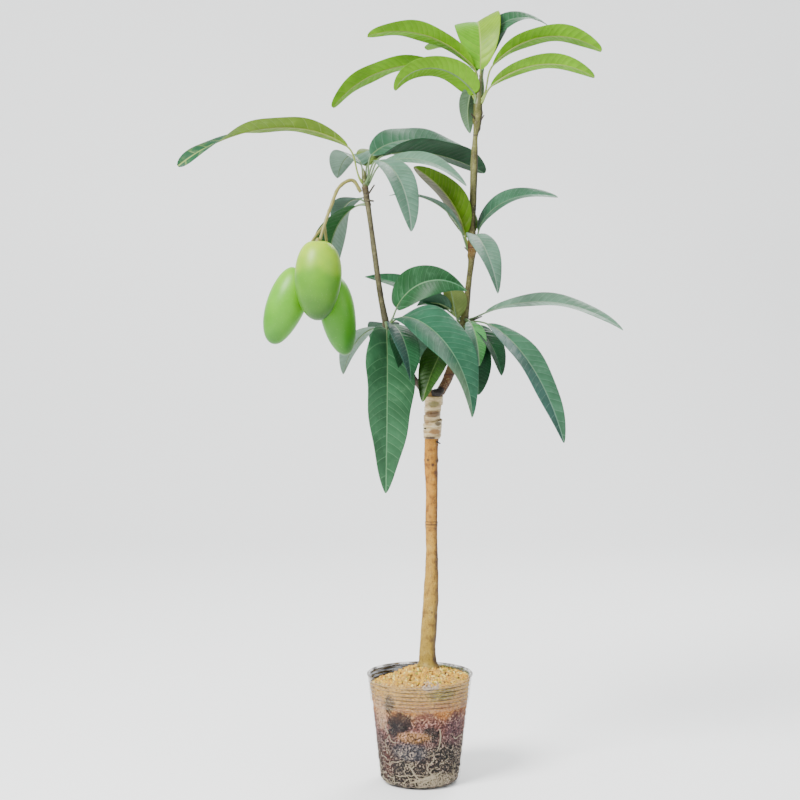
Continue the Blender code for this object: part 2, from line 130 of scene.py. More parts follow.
TRUNK = (
    Station(156.0, 10.7, 0.0, 15.0),
    Station(160.0, 10.6, 0.0, 12.6),
    Station(169.0, 10.2, 0.0, 11.4),
    Station(206.0, 12.0, 0.0, 10.7),
    Station(259.0, 15.2, 0.0, 9.9),
    Station(310.0, 15.9, 0.0, 8.0),
    Station(350.0, 15.2, 0.0, 8.1),
    Station(387.0, 15.8, 0.0, 8.0),
    Station(438.0, 14.8, 0.0, 9.2),
    Station(464.0, 15.6, 0.0, 9.6),
    Station(478.0, 17.0, 0.0, 11.2),
    Station(495.0, 16.4, 0.0, 9.4),
    Station(521.0, 19.3, 0.0, 11.6),
)
LEADER = (
    Station(521.3, 25.5, 0.0, 7.2),
    Station(540.0, 35.5, 0.0, 7.0),
    Station(575.0, 47.0, 0.0, 6.2),
    Station(614.0, 57.3, 0.0, 6.0),
    Station(640.0, 61.5, 0.0, 4.6),
    Station(665.0, 64.0, 0.0, 4.0),
    Station(702.0, 68.2, 0.0, 4.6),
    Station(716.0, 69.2, 0.0, 6.2),
    Station(741.0, 68.7, 0.0, 4.7),
    Station(780.0, 70.0, 0.0, 4.6),
    Station(845.0, 72.0, 0.0, 4.3),
    Station(862.0, 72.8, 0.0, 3.2),
    Station(880.0, 75.5, 0.0, 5.4),
    Station(905.0, 76.0, 0.0, 6.0),
)
SIDE_SHOOT = (
    Station(521.3, 8.5, 0.0, 5.4),
    Station(532.0, 0.0, -4.0, 5.2),
    Station(550.0, -13.0, -10.0, 4.8),
    Station(580.0, -31.0, -19.0, 4.6),
    Station(612.0, -43.5, -26.0, 4.9),
    Station(640.0, -49.8, -27.0, 4.1),
    Station(706.0, -59.7, -28.0, 3.7),
    Station(752.0, -65.9, -28.0, 3.4),
    Station(776.0, -69.5, -28.0, 3.8),
    Station(795.0, -72.5, -28.0, 4.6),
)
LIMBS = {"trunk": TRUNK, "leader": LEADER, "side_shoot": SIDE_SHOOT}
LIMB_SIDES = {"trunk": 64, "leader": 48, "side_shoot": 40}
LIMB_RING_SPACING = 1.5

WHORLS = (
    Whorl("leader_top_leaves", "leader", 905.3, 950.0, (
        Leaf(36, 197, 53, -20, 173, 40, 15, "young", roll=25),
        Leaf(6, 211, 50, -66, 138, 43, 8, "lush", bend=1.5, sway=-40, roll=36),
        Leaf(24, 172, 37, -52, 220, 39, 25, "young", roll=26),
        Leaf(32, 94, 100, -35, 131, 64, 12, "young", bend=1.5, roll=-16, other="lime"),
        Leaf(36, 32, 94, -30, 155, 32, 18, "teal", bend=1.1, sway=-10, roll=30),
        Leaf(34, 62, 60, 28, 122, 26, 20, "pale"),
        Leaf(20, 352, 69, -37, 192, 40, 34, "young", roll=-28),
        Leaf(4, 345, 53, -34, 172, 36, 24, "young", roll=-28),
        Leaf(32, 178, -8, -105, 76, 25, 16, "bract", bend=0.36, sway=-45, roll=45),
        Leaf(30, 130, 62, -10, 125, 44, 14, "young"),
    )),
    Whorl("leader_middle_leaves", "leader", 708.0, 724.0, (
        Leaf(14, 350, 125, -14, 141, 42, 16, "soft", bend=0.48, sway=8, roll=28),
        Leaf(13, 268, 74, -80, 145, 36, 20, "pale", bend=0.46, sway=46),
        Leaf(11, 178, 92, 27, 131, 54, 15, "turning", bend=0.78, sway=20, roll=27, other="blush"),
        Leaf(6, 188, 86, -12, 140, 28, 22, "mature", bend=0.9),
        Leaf(8, 105, 60, 5, 120, 40, 16, "turning"),
    )),
    Whorl("leader_low_leaves", "leader", 608.0, 626.0, (
        Leaf(12, 350, 30, -37, 214, 39, 22, "silver", roll=25),
        Leaf(9, 315, 42, -71, 238, 45, 34, "soft", bend=0.34, sway=3, roll=12, other="slate"),
        Leaf(13, 290, 10, -85, 80, 28, 10, "fresh", bend=0.5, other="pale"),
        Leaf(6, 318, 0, -78, 92, 40, 16, "deep", bend=0.6),
        Leaf(4, 290, -20, -88, 104, 44, 15, "deep", bend=0.6),
        Leaf(4, 235, -30, -66, 131, 45, 18, "moss"),
        Leaf(13, 162, 42, 5, 146, 42, 20, "mature", roll=-30),
        Leaf(7, 205, 82, 60, 62, 40, 8, "olive", sway=40),
        Leaf(14, 170, 62, -28, 64, 39, 16, "deep", sway=15, roll=26),
        Leaf(6, 100, 10, -60, 130, 42, 16, "deep"),
        Leaf(7, 70, 0, -70, 112, 42, 14, "deep"),
    )),
    Whorl("side_top_leaves", "side_shoot", 795.3, 820.0, (
        Leaf(22, 192, 94, -38, 274, 44, 36, "long", bend=0.42, roll=28, curl=-100),
        Leaf(14, 118, 72, -70, 104, 50, 16, "pale"),
        Leaf(20, 52, 98, -21, 197, 49, 26, "soft", bend=0.35, sway=-36, roll=37),
        Leaf(22, 30, 78, -23, 199, 66, 34, "dusk", bend=0.31, sway=1, roll=-17),
        Leaf(10, 352, 66, -46, 152, 34, 30, "silver", bend=0.6, roll=30),
        Leaf(18, 304, 78, -86, 168, 42, 33, "pale", bend=0.46, roll=7),
        Leaf(10, 75, 65, -10, 90, 40, 20, "olive"),
    )),
    Whorl("side_middle_leaves", "side_shoot", 767.0, 781.0, (
        Leaf(5, 172, 14, -88, 122, 54, 10, "night", bend=0.4, sway=-75, other="pale"),
        Leaf(8, 120, 25, -75, 105, 36, 14, "mature"),
    )),
    Whorl("side_low_leaves", "side_shoot", 603.0, 620.0, (
        Leaf(15, 273, -37, -82, 240, 74, 12, "hanging", bend=0.6, sway=-8, roll=-32),
        Leaf(6, 300, 5, -88, 88, 38, 10, "deep", bend=0.45),
        Leaf(11, 293, 23, -89, 107, 44, 9, "mature", bend=0.6, sway=9, roll=-12, other="slate"),
        Leaf(6, 134, 25, -75, 112, 38, 12, "pale", bend=0.6),
        Leaf(12, 337, 80, -38, 140, 51, 22, "cornered", bend=1.05, sway=-5, roll=31, twist=100),
        Leaf(11, 298, 40, -89, 224, 77, 30, "broad", bend=0.68, sway=48, roll=16, other="sage", turned=0.6),
        Leaf(8, 95, 20, -75, 120, 44, 16, "deep"),
        Leaf(7, 60, 10, -75, 110, 42, 14, "deep"),
    )),
)
TIP_STEMS = {
    "leader_top_leaves": TipStem(5.6, 1.8, 940.0, 8.0),
    "side_top_leaves": TipStem(4.4, 2.5, 806.0, 13.0),
}


class LeafKind(NamedTuple):
    """The colours of one kind of leaf, where it is broadest, and how full its outline is. Most kinds
    are an age of leaf; some hold painted light and shade.
    """

    upper: str
    under: str
    vein: str
    broadest: float
    fullness: float


# Some kinds hold painted light and shade. Deep, dusk and night are the dark greens of old leaves made
# darker still for leaves that stand in shadow: partly their own colour, partly painted shade. Pale and
# silver are grey-greens that take in the sheen of a waxy blade: partly their own colour, partly painted
# sheen. Lime, blush, slate, pale and sage, named as a leaf's other, paint light and shade on one half of a
# folded blade.
LEAF_KINDS = {
    "young": LeafKind("#65A800", "#74B000", "#8CA63A", 1.3, 0.44),
    "lush": LeafKind("#65A800", "#74B000", "#8CA63A", 0.68, 0.55),
    "olive": LeafKind("#627D2C", "#6F8240", "#98A45C", 0.8, 0.7),
    "bract": LeafKind("#506D53", "#597655", "#5C7B68", 0.55, 0.7),
    "broad": LeafKind("#2D6649", "#547560", "#5E9470", 0.6, 0.72),
    "hanging": LeafKind("#396B46", "#547560", "#689A6D", 0.6, 0.72),
    "lime": LeafKind("#82AC12", "#82AC12", "#A4B850", 1.15, 0.5),
    "turning": LeafKind("#3F6802", "#537902", "#808C51", 0.8, 0.65),
    "blush": LeafKind("#837F66", "#837F66", "#939677", 0.8, 0.65),
    "long": LeafKind("#205A36", "#70931E", "#92A856", 1.05, 0.52),
    "fresh": LeafKind("#4C964F", "#5E8C5C", "#80AC78", 0.75, 0.75),
    "moss": LeafKind("#244B08", "#4C6420", "#4F6B2C", 0.75, 0.7),
    "mature": LeafKind("#2C643E", "#50705D", "#538961", 0.72, 0.78),
    "cornered": LeafKind("#24582F", "#50705D", "#538961", 0.48, 0.62),
    "teal": LeafKind("#2F683E", "#487458", "#66926E", 0.9, 0.65),
    "deep": LeafKind("#144524", "#2F573F", "#376A47", 0.75, 0.7),
    "dusk": LeafKind("#0C461C", "#1C4A2A", "#2A6440", 0.95, 0.55),
    "night": LeafKind("#143F20", "#256528", "#5C8062", 0.75, 0.7),
    "soft": LeafKind("#3E6D50", "#66856D", "#668C74", 0.8, 0.68),
    "sage": LeafKind("#5E8262", "#6F9070", "#8CAF84", 0.8, 0.7),
    "slate": LeafKind("#365E52", "#507066", "#668979", 0.8, 0.7),
    "pale": LeafKind("#5C826C", "#89A694", "#839A89", 0.8, 0.7),
    "silver": LeafKind("#668D74", "#95B09C", "#90A895", 0.8, 0.7),
}

TIP_LEAN = 0.08
CURL_POWER = 4
COLLAR_REACH = 1.4  # how far past the bark a leaf's root ring lies, as in the solids

# Measures of the pot that its pieces and its materials share.
POT_CORNER = 9.0 * MM
RIB_COUNT = 7
RIB_PITCH = 5.1 * MM
LOWEST_RIB = 110.0 * MM
RIBS_END = LOWEST_RIB + (RIB_COUNT - 1) * RIB_PITCH
SOIL_EDGE = 141.5 * MM


def eased(start, end, leaving, arriving, t):
    """A smooth way from start to end that leaves and arrives at these speeds."""
    return (
        start + (end - start) * (t * t * (3 - 2 * t))
        + leaving * t * (1 - t) ** 2
        - arriving * t * t * (1 - t)
    )


def smooth_through(knots, values, at):
    """A smooth curve through the values at the knots, read at these places."""
    knots = np.asarray(knots, float)
    values = np.asarray(values, float)
    slopes = np.gradient(values, knots, axis=0)
    at = np.atleast_1d(at)
    i = np.clip(np.searchsorted(knots, at) - 1, 0, len(knots) - 2)
    span = knots[i + 1] - knots[i]
    t = ((at - knots[i]) / span)[:, None]
    span = span[:, None]
    return eased(values[i], values[i + 1], slopes[i] * span, slopes[i + 1] * span, t)


def limb_at(limb, heights):
    """Centre x, centre y and radius of a limb at these heights."""
    stations = np.array(limb)
    inside = np.clip(heights, stations[0, 0], stations[-1, 0])
    return smooth_through(stations[:, 0], stations[:, 1:], inside)


def tip_axis(limb, height):
    """The middle of the stem past a limb's tip, at a height."""
    before, end = limb[-2:]
    lean = (end.x - before.x) / (end.height - before.height) + TIP_LEAN
    return end.x + lean * (height - end.height), end.y


def leaf_start(whorl, leaf):
    """Where a leaf's stalk starts: on the bark, or on the axis of the tip's stem."""
    limb = LIMBS[whorl.limb]
    height = whorl.foot + leaf.up
    if whorl.top < limb[-1].height:
        (x, y, radius), = limb_at(limb, [height])
        turn = math.radians(leaf.around)
        reach = radius + COLLAR_REACH + 1.0
        return np.array([x + reach * math.cos(turn), y + reach * math.sin(turn), height])
    return np.array([*tip_axis(limb, height), height])


def leaf_path(leaf, start, steps):
    """Fine steps along a leaf: share of its length, point, direction, side and upper face."""
    share = (np.arange(steps) + 0.5) / steps
    around = np.radians(leaf.around + leaf.sway * share)
    climb = np.radians(leaf.rise + (leaf.fall - leaf.rise) * share**leaf.bend)
    lean = np.radians(leaf.roll + leaf.twist * share + leaf.curl * share**CURL_POWER)
    flat = np.cos(climb)
    ahead = np.stack([flat * np.cos(around), flat * np.sin(around), np.sin(climb)], axis=1)
    level = np.stack([-np.sin(around), np.cos(around), np.zeros(steps)], axis=1)
    upper = np.cross(ahead, level)
    side = level * np.cos(lean)[:, None] + upper * np.sin(lean)[:, None]
    face = np.cross(ahead, side)
    points = np.asarray(start) + np.cumsum(ahead, axis=0) * leaf.length / steps
    return share, points, ahead, side, face


def read_at(place, share, values):
    """Points or directions along a leaf, read at these shares of its length."""
    return np.stack([np.interp(place, share, values[:, axis]) for axis in range(3)], axis=-1)


# Meshes.


def in_scene(name, data):
    """A new object of this data, in the scene."""
    obj = bpy.data.objects.new(name, data)
    bpy.context.scene.collection.objects.link(obj)
    return obj


def mesh_piece(name, points, faces, materials, slot, replaced):
    """A finished smooth piece of these points, in metres, that rides on the plant."""
    mesh = bpy.data.meshes.new(name)
    mesh.from_pydata(np.asarray(points).tolist(), [], faces)
    for material in materials:
        mesh.materials.append(material)
    mesh.shade_smooth()
    mesh.update()
    obj = in_scene(name, mesh)
    settle(obj, replaced)
    return obj


def settle(obj, replaced):
    """Says what a piece rides on, and hides the solids it stands for."""
    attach(obj, BODY)
    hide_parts(*replaced)


def ring_turns(sides):
    """The angles of a ring's points."""
    return np.arange(sides) * 2 * math.pi / sides


def level_rings(radius, heights, sides, x=0.0, y=0.0):
    """Rings of points at these heights. The radius may differ from point to point."""
    turn = ring_turns(sides)
    heights = np.repeat(np.asarray(heights)[:, None], sides, 1)
    return np.stack([x + radius * np.cos(turn), y + radius * np.sin(turn), heights], axis=2).reshape(-1, 3)


def sides_between(rings, sides, offset=0):
    """Quads between each ring of points and the next."""
    faces = []
    for i in range(rings - 1):
        low = offset + i * sides
        high = low + sides
        for k in range(sides):
            after = (k + 1) % sides
            faces.append((low + k, low + after, high + after, high + k))
    return faces


def tube_faces(rings, sides, offset=0):
    """The sides of a tube and the faces that close its ends."""
    faces = sides_between(rings, sides, offset)
    last = offset + (rings - 1) * sides
    faces.append(tuple(reversed(range(offset, offset + sides))))
    faces.append(tuple(range(last, last + sides)))
    return faces


def rod_points(path, radii, sides):
    """Rings of points round a path, one radius for each of its points."""
    path = np.asarray(path, float)
    ahead = np.gradient(path, axis=0)
    ahead /= np.linalg.norm(ahead, axis=1)[:, None]
    guide = np.array([0.13, 1.0, 0.21])
    across = np.cross(ahead, guide)
    across /= np.linalg.norm(across, axis=1)[:, None]
    other = np.cross(ahead, across)
    turn = ring_turns(sides)
    reach = np.asarray(radii, float)[:, None, None]
    ring = np.cos(turn)[None, :, None] * across[:, None] + np.sin(turn)[None, :, None] * other[:, None]
    return (path[:, None] + reach * ring).reshape(-1, 3)


def rods(parts, sides):
    """Points and faces of many closed rods, each a path and its radii, in millimetres."""
    points, faces, count = [], [], 0
    for path, radii in parts:
        ring = rod_points(path, radii, sides)
        faces += tube_faces(len(path), sides, count)
        points.append(ring)
        count += len(ring)
    return np.concatenate(points) * MM, faces


def rough(points, scale, seed, octaves=3):
    """Smooth noise at these points, about -1 to 1; scale is the size of a bump, in the points' unit."""
    shift = Vector((seed * 3.7, seed * 1.3, seed * 5.1))
    values = [noise.fractal(Vector(p) / scale + shift, 0.6, 2.0, octaves) for p in np.asarray(points)]
    return np.array(values)


# Blades and stalks. A blade is a closed skin: an upper and a lower face that meet in a thin margin.


BLADE_ROWS = 84
BLADE_COLUMNS = 24
CENTRE_CROWDING = 1.4
MARGIN_SHARE = 0.03
BLADE_STEPS = 168
WAVE_LENGTH = 85.0
BROAD_HALF = 30.0
LEAF_FOLD = math.radians(16.0)
MARGIN_THICKNESS = 0.35
HALF_THICKNESS = 0.32
TIP_SHARE = 0.997
VEIN_SWEEP = 0.38  # how far a side vein runs to the tip for each millimetre it runs out
VEIN_HOOK = 0.012
VEIN_CROWDING = 0.07
VEIN_UNEVEN = 0.008
VEIN_OFFSET = 0.4
BAKE_CELLS = 4
# A blade's place in its bake cell: the gap round it, the width of one face, how far to the side the
# other face lies, and the height, as shares of the cell.
BAKE_GAP, BAKE_WIDTH, BAKE_SHIFT, BAKE_HEIGHT = 0.04, 0.44, 0.48, 0.92
TURN_REACH = 0.1  # the share of a blade over which its second colours come in


def blade_half_width(leaf, along):
    """Half the width of a blade at these shares of the way along it."""
    kind = LEAF_KINDS[leaf.kind]
    return leaf.width / 2 * np.sin(math.pi * np.clip(along, 0, 1) ** kind.broadest) ** kind.fullness


def vein_number(blade, distance, reach, side, pairs, phase):
    """Counts side veins along a blade: wider apart in its middle, set off on one side, swept to the tip."""
    along = (distance - VEIN_SWEEP * reach - VEIN_HOOK * reach**2) / blade
    crowding = VEIN_CROWDING * np.sin(2 * math.pi * along)
    uneven = VEIN_UNEVEN * np.sin(8.6 * math.pi * along + phase)
    return (along - crowding + uneven) * pairs + np.where(side > 0, VEIN_OFFSET, 0.0)


def blade_grid(leaf, start, settings, seed):
    """A blade's rings of points, with each point's vein number and its distance from the midrib."""
    blade = leaf.length - leaf.petiole
    share, points, _, side, face = leaf_path(leaf, start, BLADE_STEPS)
    along = np.linspace(0.004, TIP_SHARE, BLADE_ROWS)
    place = (leaf.petiole + blade * along) / leaf.length
    middle, across, above = (read_at(place, share, values)[:, None] for values in (points, side, face))
    inner = np.linspace(0, 1, BLADE_COLUMNS // 2) ** CENTRE_CROWDING * (1 - MARGIN_SHARE)
    w = np.concatenate([[-1.0], -inner[:0:-1], inner, [1.0]])[None]
    half = blade_half_width(leaf, along)[:, None]
    reach = np.abs(w) * half
    draw = random.Random(seed)
    waves = blade / WAVE_LENGTH * draw.uniform(0.8, 1.2)
    phase = draw.uniform(0, 2 * math.pi)
    veins = vein_number(blade, blade * along[:, None], reach, w, settings.vein_pairs, phase)
    quilt = settings.quilting / MM * np.cos(2 * math.pi * veins) * np.clip(reach / 5, 0, 1)
    quilt = quilt * (1 - np.abs(w) ** 4)
    wave = np.sin(2 * math.pi * waves * along[:, None] + phase + np.where(w > 0, 1.4, 0.0))
    ripple = settings.margin_wave / MM * wave * w**2 * half / BROAD_HALF
    fold = LEAF_FOLD * (1.05 - 0.25 * np.abs(w))
    out = half * w * np.cos(fold)
    lift = half * np.abs(w) * np.sin(fold) - quilt + ripple
    thin = HALF_THICKNESS * (1 - np.abs(w) ** 6 * (1 - MARGIN_THICKNESS))
    sheet = middle + across * out[..., None]
    top = sheet + above * (lift + thin)[..., None]
    bottom = sheet + above * (lift - thin)[..., None]
    edge = sheet + above * lift[..., None]
    top[:, 0], top[:, -1] = edge[:, 0], edge[:, -1]
    rings = np.concatenate([top, bottom[:, -2:0:-1]], axis=1)
    signed = w * half
    numbers = np.concatenate([veins, veins[:, -2:0:-1]], axis=1)
    offsets = np.concatenate([signed, signed[:, -2:0:-1]], axis=1)
    return rings, numbers, offsets, along


def blade_caps(count, rows):
    """Faces that close a blade at its foot and at its tip."""
    sides = 2 * BLADE_COLUMNS
    faces = []
    for row, order in ((0, 1), (rows - 1, -1)):
        base = count + row * sides
        for k in range(BLADE_COLUMNS):
            ring = [k, k + 1, (sides - k - 1) % sides, (sides - k) % sides]
            corners = list(dict.fromkeys(ring))[::order]
            faces.append(tuple(base + c for c in corners))
    return faces


def blade_piece(whorl, index, materials, settings):
    """All the blades of one mass in one piece, with its colours, vein lines and a neat bake layout."""
    sides = 2 * BLADE_COLUMNS
    points, faces, veins, bake, marks, tints, vein_tints = [], [], [], [], [], [], []
    count = 0
    for number, leaf in enumerate(whorl.leaves):
        seed = 100 * index + number
        rings, numbers, offsets, along = blade_grid(leaf, leaf_start(whorl, leaf), settings, seed)
        kind, other = LEAF_KINDS[leaf.kind], LEAF_KINDS[leaf.other or leaf.kind]
        rows = len(rings)
        points.append(rings.reshape(-1, 3))
        column = number % BAKE_CELLS
        row = number // BAKE_CELLS
        for i in range(rows - 1):
            turned = round(float(np.clip((along[i] - leaf.turned) / TURN_REACH, 0, 1)), 1)
            for k in range(sides):
                after = (k + 1) % sides
                lower = k >= BLADE_COLUMNS
                corners = ((i, k), (i + 1, k), (i + 1, after), (i, after))
                faces.append(tuple(count + r * sides + c for r, c in corners))
                marks.append(1 if lower else 0)
                for r, c in corners:
                    veins.append((numbers[r, c], offsets[r, c]))
                    across = (c if not lower else (sides - c) % sides) / BLADE_COLUMNS
                    shift = BAKE_SHIFT if lower else 0.0
                    u = (column + BAKE_GAP + BAKE_WIDTH * across + shift) / BAKE_CELLS
                    bake.append((u, (row + BAKE_GAP + BAKE_HEIGHT * along[r]) / BAKE_CELLS))
                # The left half takes the colours of the kind named in other from the turned share on:
                # painted light and shade on one half of the folded blade.
                left = (k if not lower else sides - 1 - k) < BLADE_COLUMNS // 2
                share = turned if left else 0.0
                tones = (kind.under, other.under) if lower else (kind.upper, other.upper)
                tints.append((*tones, share))
                vein_tints.append((kind.vein, other.vein, share))
        for face in blade_caps(count, rows):
            faces.append(face)
            marks.append(0)
            veins += [(0.0, 0.0)] * len(face)
            bake += [((column + 0.5) / BAKE_CELLS, (row + 0.02) / BAKE_CELLS)] * len(face)
            tints.append((kind.upper, kind.upper, 0.0))
            vein_tints.append((kind.vein, kind.vein, 0.0))
        count += rows * sides
    name = whorl.node.replace("leaves", "blades")
    points = np.concatenate(points) * MM
    mesh = mesh_piece(name, points, faces, materials, whorl_slot(whorl), (whorl.node,)).data
    mesh.polygons.foreach_set("material_index", marks)
    mesh.uv_layers.new(name="veins").uv.foreach_set("vector", np.array(veins, np.float32).ravel())
    mesh.uv_layers.new(name="OFBake").uv.foreach_set("vector", np.array(bake, np.float32).ravel())
    known = {
        tint: (*(np.array(linear(tint[0])) * (1 - tint[2]) + np.array(linear(tint[1])) * tint[2]), 1.0)
        for tint in {*tints, *vein_tints}
    }
    corner_counts = [len(face) for face in faces]
    for name, colours in (("blade_colour", tints), ("vein_colour", vein_tints)):
        layer = mesh.color_attributes.new(name, "FLOAT_COLOR", "CORNER")
        values = np.repeat(np.array([known[c] for c in colours], np.float32), corner_counts, axis=0)
        layer.data.foreach_set("color", values.ravel())
    mesh.update()


def whorl_slot(whorl):
    """The finish of a mass of leaves: young at the top of the leader, old elsewhere."""
    return "young_leaf" if whorl.node == "leader_top_leaves" else "old_leaf"


RIB_SIDES = 8
RIB_ROWS = 64
STALK_ROWS = 16
PETIOLE_RADIUS = 1.2
PULVINUS_RADIUS = 2.2
PULVINUS_LENGTH = 7.0
RIB_END = 0.985
RIB_END_RADIUS = 0.2
RIB_SINK = 0.4
YOUNG_STALKED = ("young", "lime", "turning", "long")
BARK_SINK = 4.0
TIP_ROOT_SHARE, TIP_ROOT_DROP, TIP_ROOT_REACH = 0.3, 2.0, 0.55


def stalk_root(whorl, leaf):
    """Where a leaf's stalk leaves the wood: inside the bark, or at the rim of the limb's tip."""
    limb = LIMBS[whorl.limb]
    turn = math.radians(leaf.around)
    out = np.array([math.cos(turn), math.sin(turn), 0.0])
    if whorl.node not in TIP_STEMS:
        return leaf_start(whorl, leaf) - out * BARK_SINK, out
    height = whorl.foot + TIP_ROOT_SHARE * leaf.up - TIP_ROOT_DROP
    return np.array([*tip_axis(limb, height), height]) + out * limb[-1].radius * TIP_ROOT_REACH, out


def stalk_path(whorl, leaf, share, path, ahead):
    """A leaf's stalk up to its blade: straight out of the bark, or splayed from the limb's tip."""
    place = leaf.petiole / leaf.length
    root, out = stalk_root(whorl, leaf)
    end, heading = read_at(place, share, path), read_at(place, share, ahead)
    span = np.linalg.norm(end - root)
    if whorl.node in TIP_STEMS:
        setting_out = out * 0.7 + np.array([0.0, 0.0, 0.7])
    else:
        setting_out = ahead[0] * 0.5 + out * 0.5
    return eased(root, end, setting_out * span, heading * span, np.linspace(0, 1, STALK_ROWS)[:, None])


def rib_piece(whorl, materials):
    """The leaf stalks of one mass. Each starts in a swollen foot and runs on as its blade's midrib."""
    points, faces, marks, count = [], [], [], 0
    for leaf in whorl.leaves:
        share, path, ahead, _, face = leaf_path(leaf, leaf_start(whorl, leaf), BLADE_STEPS)
        stalk = stalk_path(whorl, leaf, share, path, ahead)
        place = np.linspace(leaf.petiole / leaf.length, RIB_END, RIB_ROWS)[1:]
        rib, above = read_at(place, share, path), read_at(place, share, face)
        along = (place * leaf.length - leaf.petiole) / (leaf.length - leaf.petiole)
        rib_radius = PETIOLE_RADIUS * (1 - along) ** 0.8 + RIB_END_RADIUS * along
        rib = rib - above * (RIB_SINK * rib_radius * np.clip(along * 8, 0, 1))[:, None]
        walked = np.concatenate([[0], np.cumsum(np.linalg.norm(np.diff(stalk, axis=0), axis=1))])
        foot = (PULVINUS_RADIUS - PETIOLE_RADIUS) * np.exp(-((walked / PULVINUS_LENGTH) ** 2))
        radii = np.concatenate([PETIOLE_RADIUS + foot, rib_radius])
        points.append(rod_points(np.concatenate([stalk, rib]), radii, RIB_SIDES))
        rows = len(radii)
        faces += tube_faces(rows, RIB_SIDES, count)
        marks += [0 if leaf.kind in YOUNG_STALKED else 1] * ((rows - 1) * RIB_SIDES + 2)
        count += rows * RIB_SIDES
    name = whorl.node.replace("leaves", "stalks")
    points = np.concatenate(points) * MM
    obj = mesh_piece(name, points, faces, materials, whorl_slot(whorl), (whorl.node,))
    obj.data.polygons.foreach_set("material_index", marks)


# Materials.


def add(tree, kind, inputs=(), **settings):
    """Adds a node, sets it up, and fills its inputs with values or links them to other sockets."""
    node = tree.nodes.new(kind)
    for name, value in settings.items():
        setattr(node, name, value)
    for key, value in dict(inputs).items():
        if isinstance(value, bpy.types.NodeSocket):
            tree.links.new(value, node.inputs[key])
        else:
            node.inputs[key].default_value = value
    return node


def start_material(name):
    """A material with an empty tree."""
    material = bpy.data.materials.new(name)
    material.use_nodes = True
    tree = material.node_tree
    tree.nodes.clear()
    return material, tree


def colour(hex_colour):
    return (*linear(hex_colour), 1.0)


def end_material(tree, surface):
    add(tree, "ShaderNodeOutputMaterial", {"Surface": surface})


def end_clear(tree, film_shown, surface):
    """Ends the material of a clear film, whose own surface shows only as far as film_shown says: where
    it is hazed, and where light and shade are painted on it.
    """
    clear = add(tree, "ShaderNodeBsdfTransparent").outputs[0]
    end_material(tree, add(tree, "ShaderNodeMixShader", {0: film_shown, 1: clear, 2: surface}).outputs[0])


def math_node(tree, operation, *values):
    return add(tree, "ShaderNodeMath", dict(enumerate(values)), operation=operation).outputs[0]


def vector_node(tree, operation, inputs):
    return add(tree, "ShaderNodeVectorMath", inputs, operation=operation).outputs[0]


def ramp(tree, factor, stops):
    """A smooth change through hex colours at these places, lowest first."""
    node = add(tree, "ShaderNodeValToRGB", {"Fac": factor})
    elements = node.color_ramp.elements
    elements.remove(elements[1])
    elements[0].position = stops[0][0]
    elements[0].color = colour(stops[0][1])
    for place, hex_colour in stops[1:]:
        elements.new(place).color = colour(hex_colour)
    return node.outputs["Color"]


def between(tree, value, low, high, to_low=0.0, to_high=1.0):
    """A value's place between two others, eased."""
    inputs = {"Value": value, "From Min": low, "From Max": high, "To Min": to_low, "To Max": to_high}
    return add(tree, "ShaderNodeMapRange", inputs, interpolation_type="SMOOTHSTEP").outputs["Result"]


def mixed(tree, factor, first, second, blend="MIX"):
    inputs = {0: factor, 6: first, 7: second}
    return add(tree, "ShaderNodeMix", inputs, data_type="RGBA", blend_type=blend).outputs[2]


def object_place(tree):
    return add(tree, "ShaderNodeTexCoord").outputs["Object"]


def speckle(tree, size, detail=3.0, roughness=0.55, where=None):
    """Noise whose blotches are about this size, in metres."""
    inputs = {
        "Vector": object_place(tree) if where is None else where,
        "Scale": 1 / size, "Detail": detail, "Roughness": roughness,
    }
    return add(tree, "ShaderNodeTexNoise", inputs).outputs["Fac"]


def bump(tree, height, distance, strength):
    inputs = {"Height": height, "Distance": distance, "Strength": strength}
    return add(tree, "ShaderNodeBump", inputs).outputs["Normal"]


LEAF_NET = 0.0028  # the net of fine veins, drawn at about three times its real size so that it shows


